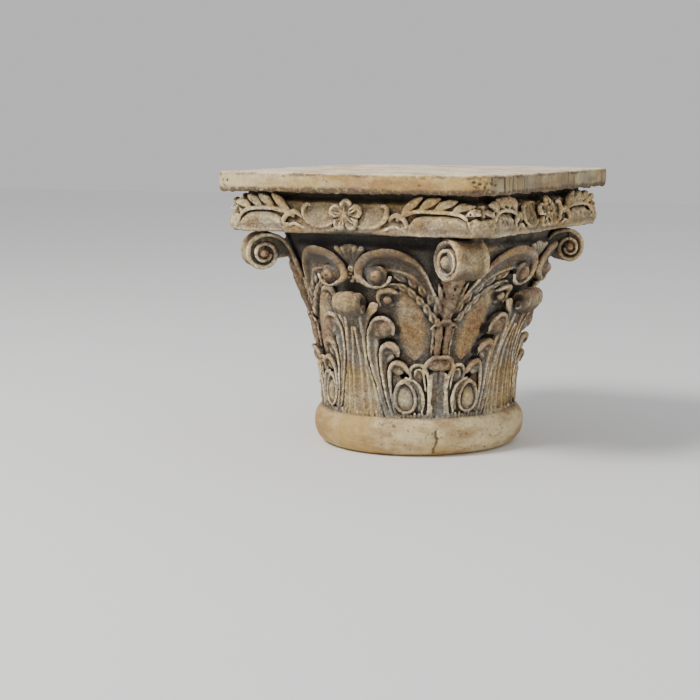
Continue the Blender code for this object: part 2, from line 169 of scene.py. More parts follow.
class Relief:
    """Signed distances over one half of a face, by place across, height and stand above the ground.

    Across is a turn in degrees on the bell and a distance on the frieze; scale is its length per unit.
    """

    def __init__(self, across, heights, stands, scale=np.ones_like):
        self.across, self.heights, self.stands = (
            np.arange(*span, dtype=np.float32) for span in (across, heights, stands))
        self.scale = scale(self.heights)
        self.field = np.full((self.across.size, self.heights.size, self.stands.size), FAR, np.float32)

    def ground(self, stand_map):
        """Starts the field from the stand of the ground at each place across and height."""
        slope_a = np.gradient(stand_map, self.across, axis=0) / self.scale
        slope_b = np.gradient(stand_map, self.heights, axis=1)
        steep = np.sqrt(1 + slope_a**2 + slope_b**2)
        self.field = ((self.stands - stand_map[:, :, None]) / steep[:, :, None]).astype(np.float32)

    def window(self, low, high, margin):
        spans = []
        for axis, values in enumerate((self.across, self.heights, self.stands)):
            room = margin / float(self.scale.min()) if axis == 0 else margin
            first, last = np.searchsorted(values, (low[axis] - room, high[axis] + room))
            spans.append(slice(first, last))
        return tuple(spans)

    def blend_in(self, span, distance, blend, carve):
        old = self.field[span]
        self.field[span] = cut(old, distance, blend) if carve else union(old, distance, blend)

    def stroke(self, rows, blend=0.3, flat=1.0, carve=False):
        """A round bar along rows of across, height, stand and radius."""
        middle = float(self.scale[len(self.scale) // 2])
        line = smooth_rows(rows, 1.0, middle)
        places, reach = line[:, :3], line[:, 3].max()
        span = self.window(places.min(0) - (0, 0, reach), places.max(0) + (0, 0, reach), reach + REACH_ROOM)
        a = self.across[span[0]][:, None]
        b = self.heights[span[1]][None, :]
        scale = self.scale[span[1]][None, :]
        if a.size == 0 or b.size == 0:
            return
        shape = (a.shape[0], b.shape[1])
        best, near = np.full((2, *shape), 1e9, np.float32)
        stand, radius = np.zeros((2, *shape), np.float32)
        for start, end in zip(line, line[1:]):
            from_a = (a - start[0]) * scale
            from_b = b - start[1]
            go_a = (end[0] - start[0]) * scale
            go_b = end[1] - start[1]
            share = np.clip((from_a * go_a + from_b * go_b) / (go_a**2 + go_b**2 + 1e-9), 0, 1)
            away = np.hypot(from_a - share * go_a, from_b - share * go_b)
            size = start[3] + share * (end[3] - start[3])
            closer = away - size < best
            best = np.where(closer, away - size, best)
            near = np.where(closer, away, near)
            radius = np.where(closer, size, radius)
            stand = np.where(closer, start[2] + share * (end[2] - start[2]), stand)
        up = (self.stands[span[2]][None, None, :] - stand[:, :, None]) / flat
        distance = np.sqrt(near[:, :, None] ** 2 + up**2) - radius[:, :, None]
        self.blend_in(span, distance, blend, carve)

    def groove(self, rows, blend=0.3, flat=1.0):
        self.stroke(rows, blend, flat, carve=True)

    def ball(self, across, height, stand, sizes, blend=0.3, tilt=0.0, carve=False):
        """An oval ball, with its sizes across, up and out, and a tilt of its first axis in degrees."""
        centre = np.array((across, height, stand), float)
        span = self.window(centre, centre, max(sizes) + REACH_ROOM)
        a = (self.across[span[0]][:, None, None] - across) * self.scale[span[1]][None, :, None]
        b = self.heights[span[1]][None, :, None] - height
        c = self.stands[span[2]][None, None, :] - stand
        if a.size == 0 or b.size == 0 or c.size == 0:
            return
        cos, sin = math.cos(math.radians(tilt)), math.sin(math.radians(tilt))
        ways = (a * cos + b * sin, b * cos - a * sin, c)
        inner, outer = (
            np.sqrt(sum((way / size**power) ** 2 for way, size in zip(ways, sizes))) for power in (1, 2))
        self.blend_in(span, inner * (inner - 1) / np.maximum(outer, 1e-6), blend, carve)

    def dent(self, across, height, stand, sizes, blend=0.3, tilt=0.0):
        self.ball(across, height, stand, sizes, blend, tilt, carve=True)

    def sample(self, across, height, stand):
        """The field at any places, smoothly between its own."""
        low, part = [], []
        for values, wanted in ((self.across, across), (self.heights, height), (self.stands, stand)):
            place = np.clip((wanted - values[0]) / float(values[1] - values[0]), 0, len(values) - 1.001)
            low.append(place.astype(np.int32))
            part.append((place - low[-1]).astype(np.float32))
        return blend_corners(self.field, low, [index + 1 for index in low], part)


def panel_share(turn, height):
    """1 in the middle of the plain panel between the leaf and the corner, 0 at its rim."""
    middle = np.interp(height, (80, 90, 102, 118, 134), (31.4, 30.4, 28.8, 26.4, 22.4))
    half = np.interp(height, (78, 84, 92, 104, 118, 130, 139), (0.1, 5.6, 8.0, 9.2, 8.4, 6.0, 0.1))
    return np.clip(1.0 - np.abs(turn - middle) / half, 0.0, 1.0)


def build_bell():
    relief = Relief((-3.6, 46.4, 0.3), (26.0, 184.6, 0.6), (-7.0, 24.5, 0.6), bell_scale)
    turn, height, scale = relief.across[:, None], relief.heights[None, :], relief.scale[None, :]
    # The tall leaf is a plate with hollow flutes, and the side lobes stand on a lower plate.
    edge = np.interp(height, (30, 42, 52, 60, 67, 74, 84, 91, 100, 105, 110, 114, 121),
                     (13.4, 11.2, 9.4, 8.4, 7.0, 5.5, 4.2, 3.8, 3.9, 4.6, 6.2, 7.8, 9.8))
    leaf = np.interp(height, (30, 60, 85, 100, 110, 118), (1.8, 2.6, 3.4, 4.8, 6.4, 7.4))
    leaf = leaf * rise((edge - np.abs(turn)) * scale, 0, 1.2) * rise(height, 122, -5)
    edge = np.interp(height, (32, 55, 68, 78, 90, 100, 107), (19.8, 18.0, 20.0, 21.0, 19.5, 15.0, 9.0))
    lobes = 1.2 * rise((edge - turn) * scale, 0, 2) * rise(height, 108, -6)
    loops = 1.5 * rise((turn - 18.0) * scale, 0, 2) * rise(height, 72, -4)
    panel = 1.4 * smooth_step(panel_share(turn, height) * 1.7)
    trunk = 3.0 * rise((turn - 39.8) * scale, 0, 1.4) * rise(height, 80, -3)
    foot = 2.6 * rise(height, 36.5, -3) + 0.0 * turn
    stand = np.maximum.reduce([leaf, lobes, loops, panel, trunk, foot])
    # The ground draws back under the frieze and is hollow behind the rolled tip.
    stand = stand - 4.0 * rise(height, 168, 6) * rise(turn, 37, -5)
    relief.ground((stand - 3.0 * mound(turn, 0, 8, height, 138.5, 5)).astype(np.float32))
    for carve in (carve_tall_leaf, carve_lobes, carve_loops, carve_corner, carve_scroll, carve_laurel,
                  carve_palmette, carve_grooves):
        carve(relief)
    return relief


def carve_tall_leaf(relief):
    groove, ball, dent = relief.groove, relief.ball, relief.dent
    ribs = (
        [(1.3, 31, 1.6, 1.6), (1.1, 46, 2.3, 1.6), (1, 62, 2.8, 1.6), (0.6, 78, 3.4, 1.6),
         (-0.3, 90, 4.2, 1.6), (-1.4, 104, 6.4, 1.7)],
        [(5.9, 31, 1.4, 1.7), (5.4, 46, 2.1, 1.7), (4.7, 60, 2.6, 1.7), (4.3, 72, 3, 1.6),
         (4, 84, 3.6, 1.5), (3.3, 96, 4.9, 1.6), (2.7, 106, 6.6, 1.7), (2.2, 116, 8, 1.9),
         (2.6, 122, 8.8, 2)],
        [(12.6, 31, 1.2, 1.4), (10.6, 42, 1.8, 1.4), (9, 52, 2.3, 1.4), (8, 60, 2.6, 1.4),
         (6.6, 68, 2.9, 1.4), (5.3, 76, 3.3, 1.4), (4.6, 86, 3.8, 1.3), (4.4, 97, 4.7, 1.4),
         (5.2, 105, 5.6, 1.6), (7, 111.5, 6.4, 1.8), (8.9, 118, 6.8, 1.9), (10.6, 124, 6.6, 1.7)])
    for rows in ribs:
        relief.stroke(
            [(turn, height, stand - 0.3, 0.88 * radius) for turn, height, stand, radius in rows], 0.8)
    for rows in (
            [(-2, 31, 5.8, 3.8), (-2, 50, 6.6, 4), (-2, 66, 7, 3.8), (-2, 82, 7, 2.8), (-2, 92, 7.4, 1.8)],
            [(3.6, 31, 5.8, 3.1), (3.2, 46, 6.4, 3.2), (2.8, 62, 6.8, 3.1), (2.4, 76, 7.2, 2.8),
             (1.8, 90, 8, 2.4), (0.9, 104, 9.8, 2.1)],
            [(8.9, 31, 5.8, 3.6), (7.9, 44, 6.4, 3.7), (6.7, 58, 6.6, 3.1), (5.6, 68, 6.4, 2.2),
             (4.9, 78, 6.2, 1.4)]):
        groove(rows, 0.5)
    # The rolled tip: a ball with a cup in each end, and a small coil low in the cup.
    ball(-1.7, 124.2, 10.8, (11.2, 11, 11))
    ball(2.7, 124.6, 10.2, (4.8, 9.6, 9.8), 0.8)
    dent(6.6, 126, 8.4, (4.8, 7, 7.6), 0.5)
    ball(4, 121, 11.6, (4, 4.4, 4.4))
    dent(6, 121, 11.8, (1.5, 2.6, 2.6), 0.2)
    # The flared blade beside it.
    relief.stroke(
        [(4.9, 100, 3.2, 1.6), (5.6, 110, 5, 2.8), (7.2, 118, 5.6, 3.6), (8.8, 123.4, 5.6, 3.2)], 0.6,
        flat=0.7)
    groove([(4.6, 104, 8, 1), (5.6, 113, 9.4, 1.5), (7.4, 121, 9.4, 1.7)], 0.6)
    ball(9.3, 124.6, 5.8, (3.6, 2, 2.4), 0.5)
    groove([(-2, 113.4, 10.6, 1.3), (1.2, 114, 10, 1.4), (3.6, 117.2, 8.8, 1.1)])
    dent(-1, 138.4, 5.6, (13.5, 3.6, 7), 0.6)


def carve_lobes(relief):
    stroke, groove, ball, dent = relief.stroke, relief.groove, relief.ball, relief.dent
    # First lobe: a channelled band with a hood that turns over, and a small curl inside it.
    stroke([
        (15.2, 33, 0.6, 2.6), (12.8, 46, 0.8, 2.9), (10.9, 58, 1, 3.2), (9.4, 72, 1.4, 3.9),
        (8.6, 84, 2, 4.6), (8.6, 96, 2.8, 5.4)], 0.6, flat=0.75)
    ball(12.3, 105.2, 2.8, (11.6, 10.2, 6), 0.8)
    stroke([
        (14.7, 32, 1.9, 1), (12.5, 42, 2.4, 1.1), (10.9, 52, 2.8, 1.1), (9.8, 60, 3.1, 1.2),
        (8.4, 68, 3.4, 1.2), (7.1, 76, 3.8, 1.3), (6.2, 86, 4.4, 1.4), (5.9, 95, 5, 1.5),
        (6.3, 102.6, 5.8, 1.6), (7.9, 109, 6.6, 1.7), (10.6, 112.7, 7.4, 1.8), (13.8, 114, 8, 1.9),
        (16.8, 111.8, 8.2, 1.8), (18.8, 107.2, 7.8, 1.7), (19.4, 101.6, 6.8, 1.4)], 0.5)
    stroke([
        (16.5, 36, 1.8, 0.9), (14.8, 43, 2.3, 1), (12.9, 54, 2.7, 1), (11.8, 66, 3, 1.1),
        (11.2, 78, 3.4, 1.2), (11, 88, 4, 1.3), (11, 95, 4.8, 1.4)], 0.4)
    groove([
        (13.6, 40, 3.8, 0.9), (11.8, 54, 4.2, 1.1), (10.2, 68, 4.8, 1.5), (8.9, 80, 5.8, 2.2),
        (8.4, 90, 6.8, 2.7), (8.3, 99, 8.2, 2.8), (9.2, 105.5, 10.4, 2.7)], 0.8)
    ball(15.4, 105.6, 5.4, (6.4, 7.4, 5.4), 0.6, tilt=-25)
    ball(12, 101, 6.4, (2.2, 3.4, 2.6), tilt=60)
    groove([(12.6, 97.8, 9.2, 0.7), (13, 102, 10.8, 0.8), (12, 106, 10.6, 0.8)], 0.2)
    dent(16.6, 95, 3.6, (7.4, 3.2, 5.6), 0.4)
    dent(20.4, 102.6, 2.8, (5.2, 6.4, 4.4))
    # Second lobe, in the shade of the first.
    stroke(
        [(17.2, 36, 0.4, 2.2), (15.2, 52, 0.8, 2.6), (14.2, 66, 1.2, 3), (14.2, 78, 1.8, 3.8)], 0.5,
        flat=0.75)
    ball(17.7, 86, 1.8, (8.4, 8.6, 4.8), 0.6)
    stroke([
        (18.3, 34, 1.8, 1), (16.4, 42, 2.3, 1.2), (14.7, 54, 2.7, 1.4), (13.8, 66, 3.1, 1.6),
        (13.3, 77, 3.7, 1.8), (13.6, 84.6, 4.8, 2.1), (15, 89.8, 5.8, 2.6), (17.6, 92, 6.6, 3),
        (20.4, 90.4, 6.8, 2.9), (22.2, 86.6, 6, 2.3), (22.8, 83.2, 5, 1.4)], 0.5)
    stroke([
        (17.8, 52, 1.8, 0.9), (16.7, 64, 2.3, 1), (16.7, 73, 2.9, 1.1), (18.2, 78.6, 3.4, 1.2),
        (20.6, 80.6, 3.6, 1.1)], 0.4)
    groove([
        (16.4, 48, 3.4, 0.9), (15.3, 62, 3.9, 1.1), (15.2, 73, 4.9, 1.6), (16.6, 81.5, 6.4, 2.1),
        (19.4, 84.4, 7.4, 2)], 0.6)
    dent(22.4, 79.4, 2.6, (4.2, 2.6, 4), 0.4)
    dent(22.6, 85.2, 2.4, (4.8, 5.2, 4))
    # Third lobe, with the deep dark hole below it.
    ball(23, 72, 1.4, (7.6, 6.4, 4.2), 0.6)
    stroke([
        (19.8, 36, 1.6, 1), (18.4, 46, 2.2, 1.2), (17.5, 56, 2.7, 1.4), (17.8, 66, 3.3, 1.7),
        (19.4, 73.4, 4.4, 2.1), (21.9, 76.6, 5.2, 2.4), (24.8, 75.8, 5.6, 2.4), (27.2, 72.2, 5.2, 2.1),
        (28.4, 68.4, 4.4, 1.5)], 0.5)
    groove([(19.7, 56, 4, 0.9), (20.2, 65, 5.2, 1.4), (22.4, 70.2, 6.6, 1.6)], 0.5)
    dent(25.8, 65.4, 0.8, (4.1, 2.8, 5.4), 0.4)
    dent(27.6, 69.2, 1.8, (3.6, 3.6, 3.2))


def carve_loops(relief):
    stroke, groove, ball = relief.stroke, relief.groove, relief.ball
    # The drop: a raised rim, pointed at the top, round a wide smooth cushion.
    ring = [
        (25.5, 61.4), (22, 58.4), (20.1, 52), (19.9, 45.6), (21.6, 39.6), (25.4, 36.4), (29.4, 38.2),
        (31.4, 43.4), (31.5, 49.4), (30.2, 54.8), (28.2, 58.6), (25.5, 61.4)]
    ball(25.7, 47.6, -0.4, (9.6, 12.6, 3), 0.6)
    stroke([(turn, height, 2.1, 1.75) for turn, height in ring], 0.5)
    ball(25.8, 47, 0.8, (7.4, 9.8, 3.4), 0.4)
    inner = [(25.7 + 0.78 * (turn - 25.7), 47.8 + 0.82 * (height - 48.8), 2.8, 0.7) for turn, height in ring]
    groove(inner)
    groove([(23.4, 47.6, 4.4, 0.5), (25, 51.6, 4.2, 0.7), (27.2, 54, 3.4, 0.6)])
    outside = [
        (25.5 + 1.28 * (turn - 25.5), 49.2 + 1.16 * (height - 49.2), 1.4, 0.7) for turn, height in ring[1:6]]
    groove(outside)
    # The ribbons that arch over it towards the corner.
    stroke([
        (27.6, 62.6, 1.4, 1.6), (31.4, 59.6, 1.6, 2.3), (34.2, 53.6, 1.6, 2.6), (35, 46.4, 1.5, 2.6),
        (34, 39, 1, 1.9)], 0.4)
    stroke([
        (27, 64, 2.8, 1), (31, 61.8, 3.2, 1.1), (34.4, 57, 3.3, 1.1), (36.2, 50.4, 3.3, 1.1),
        (36.6, 43.6, 3, 1.1), (35.4, 37, 2.4, 0.9)])
    groove([(30.2, 61, 3.4, 0.7), (33, 55.8, 3.8, 0.8), (34.4, 49, 3.8, 0.9), (34.2, 42, 3.4, 0.8)])
    ball(33.4, 66.6, 0.8, (5.6, 6.6, 2.6), 0.5)
    stroke([
        (29.9, 62, 2.2, 1.1), (29.2, 68, 3, 1.3), (30.2, 72.8, 3.6, 1.4), (32.8, 75.2, 4, 1.4),
        (35.6, 74.2, 4.2, 1.4), (37.9, 69.8, 4, 1.4), (39.4, 62, 3.8, 1.3), (39.8, 51, 3.5, 1.3),
        (39.4, 40, 3, 1.2), (38.4, 33, 2.2, 1.1)])
    stroke([
        (31.8, 66, 3, 0.8), (32.2, 70.2, 3.5, 0.9), (34.2, 71.6, 3.8, 0.9), (36, 69, 3.6, 0.9),
        (37, 63, 3.3, 0.9), (37.9, 54, 3, 0.8)])
    groove([
        (31.1, 68, 3, 0.5), (31.8, 72.2, 3.8, 0.6), (34.2, 73.4, 4.2, 0.6), (36.8, 70.6, 4, 0.6),
        (38.2, 63, 3.6, 0.6), (38.7, 52, 3.2, 0.6), (38.2, 41, 2.8, 0.6)])
    # The jagged fringe at the foot.
    tick = -3
    rng = np.random.default_rng(SEED)
    while tick < 45:
        low, high = rng.uniform(30.2, 31.4), rng.uniform(33, 36.2)
        stroke([(tick, low, 2.2, 1), (tick + rng.uniform(-0.3, 0.3), high, 2.6, rng.uniform(0.7, 1.2))], 0.6)
        tick += rng.uniform(1.3, 2.6)


def carve_corner(relief):
    stroke, groove, ball = relief.stroke, relief.groove, relief.ball
    # The cap over the trunk, the trunk itself and its crack.
    ball(45, 75.6, 2.8, (12.6, 6.2, 4.4), 0.5)
    stroke([
        (37, 68, 3.2, 1.2), (36.9, 73, 4.4, 1.5), (38.2, 78.2, 5.4, 1.7), (41, 81.4, 6.2, 1.8),
        (45, 82, 6.6, 1.8)], 0.4)
    groove([(38.6, 69.4, 4.6, 0.7), (39, 73.6, 5.6, 0.8), (41.2, 76.6, 7, 0.9), (45, 77.4, 7.8, 0.9)], 0.4)
    groove([(39.4, 67.8, 1.6, 1.6), (41.6, 70.8, 1.8, 1.8), (45, 71.4, 2, 1.8)], 0.4)
    stroke([(41, 33, 3, 1), (40.8, 50, 3.6, 1.2), (41, 67, 4, 1.2)], 0.4)
    groove([(43.2, 33, 7.6, 4.6), (43.2, 50, 7.8, 4.8), (43.2, 67, 8, 4.6)], 0.8)
    groove([(45, 50, 4.8, 0.6), (45, 58, 3.4, 1), (45, 68, 3, 1.2), (45, 74, 4.6, 0.9)])
    # The rods above it, bound by a knot.
    stroke([(39.9, 83, 1.4, 1.1), (40, 94, 1.6, 1.2), (39.8, 104, 1.6, 1.1)], 0.15)
    stroke([(42.8, 81, 2.4, 2.6), (42.8, 94, 2.8, 2.7), (42.7, 106, 3, 2.6)], 0.15)
    for turn in (41.6, 42.9, 44):
        groove([(turn, 84, 5.4, 0.6), (turn + 0.2, 94, 5.9, 0.7), (turn - 0.1, 104, 6.1, 0.6)])
    groove([(45, 84, 4.2, 0.8), (45, 94, 4, 1), (45, 104, 4.2, 0.8)], flat=1.6)
    ball(41.6, 107.8, 3.8, (3.2, 2.1, 2.8))
    ball(44.2, 110.8, 4.6, (2.8, 2.2, 2.8))
    ball(40.2, 111.6, 3.2, (2.4, 1.6, 2.2))
    stroke([(38.6, 105, 3, 1), (41, 109.6, 4.6, 1.1), (45, 107.4, 5.2, 1.1)])
    # The rough stalk below the corner scroll, with blades beside it.
    stroke([(45, 110, 1.6, 3.8), (45, 122, 2.2, 5.4), (45, 136, 2.6, 6.4), (45, 150, 3, 6.4)], 0.6)
    for foot, middle, tip in (
            ((43.4, 112.5), (40.4, 122), (37.2, 133)), ((43, 119), (40, 131), (38.2, 142)),
            ((43.6, 128), (41.4, 139), (40.6, 150))):
        stroke([(*foot, 1, 0.8), (*middle, 2.4, 2), (*tip, 3.4, 0.5)], 0.15)
    for foot, tip in (((45, 130), (44.6, 147)), ((43.4, 120), (42.8, 132))):
        groove([(*foot, 7.2, 0.6), (*tip, 9.2, 0.8)])


def carve_laurel(relief):
    """The feathered band that climbs from the corner over the top of the panel, blade upon blade."""
    band = smooth_rows([(40.6, 113), (37, 120.4), (33.2, 127.6), (29.2, 134.4), (24.8, 140.2), (20, 143.2),
                        (15.4, 142), (13, 138.6)], 1.0, 1.7)
    relief.stroke([(*row, -1.8, 5.4) for row in band[::6]], 0.8, flat=0.5)
    run = np.cumsum(np.hypot(np.diff(band[:, 0]) * SCROLL_SCALE, np.diff(band[:, 1])))
    run = np.concatenate([[0.0], run])
    rows_of_blade = ((-6.4, -0.6, 0.8), (-1.0, 0.6, 2.8), (3.0, 1.0, 2.4), (6.8, 1.4, 0.6))
    rows_of_vein = ((-4.4, 3.2, 0.6), (-0.6, 3.6, 1.5), (4.4, 3.2, 0.6))
    for offset, swing, start, stand in ((3.3, -12.0, 0.0, 0.9), (-3.3, -26.0, 5.0, 1.1)):
        for length in np.arange(start + 3.0, run[-1] - 3.0, 9.8):
            ahead = min(length + 2.0, run[-1])
            (turn, height), (next_turn, next_height) = (
                [np.interp(along, run, values) for values in band.T] for along in (length, ahead))
            heading = math.atan2(next_height - height, (next_turn - turn) * SCROLL_SCALE)
            turn -= offset * math.sin(heading) / SCROLL_SCALE
            height += offset * math.cos(heading)
            heading += math.radians(swing)
            sin, cos = math.sin(heading), math.cos(heading)
            blade, vein = (
                [(turn + along * cos / SCROLL_SCALE, height + along * sin, stand + higher, radius)
                 for along, higher, radius in rows] for rows in (rows_of_blade, rows_of_vein))
            relief.stroke(blade, 0.06)
            relief.groove(vein, 0.2)
    # The berry under the scroll, half covered by a curl.
    relief.ball(15.4, 129.4, 0.2, (7.4, 8, 2.8), 0.6)
    relief.stroke([
        (11.4, 123.8, 2.2, 1.2), (10.9, 129.4, 3.4, 1.6), (12.2, 134.4, 4.4, 2.3), (15.4, 136.6, 4.8, 2.5),
        (18.8, 135, 4.2, 2), (20.6, 131.4, 3, 1.2)])
    relief.groove([
        (12.7, 126.6, 3.6, 1.2), (13, 131, 4.2, 1.4), (15.4, 133.2, 4.6, 1.3), (17.8, 130.8, 4.4, 1),
        (17.6, 126.8, 4, 0.8)])
    relief.dent(19, 129.6, 2.8, (4.6, 5, 3.8))
    relief.ball(15.4, 128.8, 3.2, (3.4, 3.5, 3.2), 0.2)


def carve_scroll(relief):
    """The inner scroll: a channelled ribbon that arches from the corner and curls in beside the middle."""
    groove = relief.groove
    channel = [
        (36.6, 124, 0.6, 2.6), (33.6, 136, 1, 4), (29.6, 146, 1.4, 5.6), (24.6, 153.4, 1.8, 7),
        (19.6, 157.2, 2.4, 7.6), (14, 157.4, 3, 7.6), (8.8, 153.6, 3.4, 6.4), (8.2, 147, 3.8, 6)]
    relief.stroke(channel, 0.8, flat=0.55)
    arch = [
        (38.6, 124, 2.4, 1.2), (36, 134, 3.2, 1.6), (33.4, 142, 4, 1.9), (30.8, 150, 4.6, 2.3),
        (27.6, 157, 4.6, 3), (24.2, 162.2, 4.8, 3.5), (19.6, 165.8, 5.2, 3.8), (14.6, 166.4, 5.6, 3.8),
        (9.8, 164.2, 6, 3.7)]
    curl = [
        (6.2, 160, 6.6, 3.6), (4.2, 155.4, 7, 3.4), (3.5, 149.6, 7.6, 3), (4.8, 144.3, 8.4, 2.3),
        (8, 140.8, 9, 1.9), (12.2, 139.8, 9.4, 1.6), (15.8, 142, 9.6, 1.3), (17.2, 147, 9.2, 1.1)]
    relief.stroke(arch + curl, 0.9, flat=0.85)
    groove([
        (36.4, 128, 3.4, 1), (33.2, 138.4, 4.8, 2.4), (29.2, 147.4, 6.8, 4.2), (24.6, 153.4, 8.8, 5.8),
        (19.4, 156.6, 10.2, 6.9), (14, 156.8, 11, 7), (9.6, 153.8, 11.4, 5.6), (7.8, 149.4, 11.4, 3.8)], 0.9)
    # The coil inside, a boss with a pit in a ring groove.
    relief.ball(11.4, 147.4, 6, (8.6, 8.4, 4), 0.6)
    coil = []
    for share in np.linspace(0, 1, 14):
        angle = math.radians(90 + 330 * share)
        out = 7.4 * (6.6 / 7.4) ** share
        coil.append((
            11.4 + out * math.cos(angle) / SCROLL_SCALE, 147.4 + out * math.sin(angle),
            8.6 + (10.4 - 8.6) * share, 1.4 + (1.2 - 1.4) * share))
    groove(coil)
    relief.ball(11.4, 147.4, 7.6, (5.2, 5.4, 5.8), 0.2)
    relief.dent(11, 147.2, 13.6, (1.3, 1.5, 1.4), 0.2)
    groove(
        [(38.2, 138, 1, 1.2), (34.8, 147.6, 1.2, 1.4), (30.8, 157.6, 1.4, 1.6), (26.2, 165.8, 1.6, 1.6)],
        0.6)
    relief.dent(16.4, 147, 4.6, (3.4, 5, 3.6))


def carve_palmette(relief):
    """The fan of petals between the two scrolls, the knob under it and the lumps below."""
    ball = relief.ball
    ball(0, 163.4, 0.8, (13, 9.4, 3.2), 0.8)
    for turn, top in ((0, 168.6), (2.9, 169.8), (5.8, 170.2)):
        relief.stroke(
            [(0.15 * turn, 157, 2.4, 1.3), (0.55 * turn, 163.2, 2.4, 2.3), (turn, top - 1, 2, 2.3)])
    for turn, top in ((1.5, 170.6), (4.4, 171.8)):
        relief.groove(
            [(0.15 * turn, 159.6, 4.6, 0.5), (0.6 * turn, 164, 4.8, 0.8), (turn, top, 4.4, 0.9)], 0.2)
    ball(0, 153.8, 4.2, (3.4, 3, 3.4))
    relief.dent(0, 153.8, 7.2, (1.6, 1.4, 1.2), 0.2)
    for turn, height, size in (
            (2, 149.6, 2), (0.2, 146.6, 1.9), (3.2, 146.4, 1.5), (1.4, 143.4, 1.4), (2.9, 151.8, 1.1)):
        ball(turn, height, 3.2, (size, 0.9 * size, size))
    relief.dent(0, 140.4, 0.6, (8.5, 2.6, 3.4), 0.6)


def carve_grooves(relief):
    """The sharp dark lines between the forms, narrow and deep."""
    for rows in (
            [(14.1, 32, 2.8, 0.7), (11.8, 42, 3.2, 0.8), (10.1, 52, 3.4, 0.8), (8.9, 60, 3.6, 0.8),
             (7.5, 68, 3.8, 0.8), (6.2, 76, 4, 0.8), (5.3, 86, 4.4, 0.8), (5.1, 96, 5, 0.9),
             (5.6, 103.4, 5.6, 1), (7.2, 109.6, 5.8, 1.2), (9.4, 115.6, 5.4, 1.3), (12, 120, 4, 1.2)],
            [(16.2, 38, 2.6, 0.5), (13.9, 50, 3, 0.6), (12.8, 62, 3.2, 0.7), (12.2, 74, 3.4, 0.8),
             (12, 84, 3.8, 0.9), (12.6, 90.6, 4, 1.1)],
            [(17.6, 46, 2.4, 0.5), (16.4, 58, 2.8, 0.6), (16.2, 68, 3.2, 0.7), (17.8, 76.4, 3.4, 0.9)]):
        relief.groove(rows, 0.2, flat=2.4)


def build_frieze():
    relief = Relief((-1.2, 126.0, 0.6), (178.6, 217.0, 0.6), (-19.0, 8.4, 0.6))
    across, height = relief.across[:, None], relief.heights[None, :]
    # How far the ground stands out from the frieze's widest plane.
    stand = 0.0 * across + np.interp(height, (181, 182, 186, 187.4, 191, 198, 204.2, 205.6, 208, 213),
                                     (-0.6, 0.2, 0.0, -1.6, -2.8, -4.2, -6.0, -9.0, -13.0, -13.6))
    # The scooped shell beside the rosette.
    rim = np.interp(across, (6, 11, 15, 20, 25, 30, 34.5, 37.6, 39),
                    (192, 189.4, 187.2, 186.2, 186.4, 188, 191.4, 196, 204))
    above = rise(height, rim, 1.4) * rise(height, 205, -1) * rise(across, 39, -1.4)
    stand = stand + above * (1.9 - 0.06 * (height - 187.0))
    # The pillow under the frond.
    middle, half, swell = 79.0, 22.5, 3.6
    top = 186.6 + 11.0 * np.clip(1 - np.abs((across - middle) / half) ** 2.6, 0, 1) ** 0.45
    inside = np.minimum(top - height, height - 184.0)
    pillow = -3.6 + 4.4 * np.sqrt(np.clip(inside, 0, swell) / swell)
    stand = np.where((inside > 0) & (np.abs(across - middle) < half), np.maximum(stand, pillow), stand)
    relief.ground(stand.astype(np.float32))
    carve_shell(relief)
    carve_frond(relief)
    return relief


def carve_shell(relief):
    stroke = relief.stroke
    stroke([
        (6, 192, -2.2, 1), (11, 189, -0.9, 1.2), (15, 187, -0.4, 1.3), (20, 186.2, -0.2, 1.3),
        (25, 186.4, -0.2, 1.4), (30, 188, -0.4, 1.5), (34.4, 191.4, -0.6, 1.8), (37.2, 196, -1, 2.1),
        (37.6, 200.4, -1.8, 2), (35.4, 203.4, -2.8, 1.6), (32.8, 203.2, -3, 1.1)])
    relief.groove([
        (8, 187.6, -1.6, 1), (13, 184.8, 0.2, 1), (20, 183.6, 0.6, 0.9), (28, 184.2, 0.6, 0.9),
        (34, 186.8, -0.4, 1.1), (38.4, 190.6, -1.6, 1.2), (40.6, 194.6, -2.4, 1.1)])
    relief.groove([(33, 190.4, 0.8, 0.5), (35.4, 195, 0.2, 0.8), (35.4, 200, -1, 0.8)])
    # The second arch and the hollow under it.
    stroke([
        (39.6, 192.4, -2.4, 1.1), (42.4, 195.6, -1.4, 1.6), (46, 196.8, -0.8, 1.9), (50, 195.6, -0.4, 2),
        (53.6, 192.8, -0.2, 1.9), (55.4, 189.4, -0.2, 1.6), (54, 186.8, -0.4, 1.2), (51.4, 187.4, -0.6, 1)])
    stroke([
        (36, 184.6, 0, 0.9), (41, 186.8, 0.2, 1.1), (46, 187.8, 0.2, 1.2), (51, 185.6, 0.2, 1),
        (55, 184, 0, 0.8)])
    relief.dent(46, 191.6, -1, (6.4, 2.4, 2.2), 0.5)


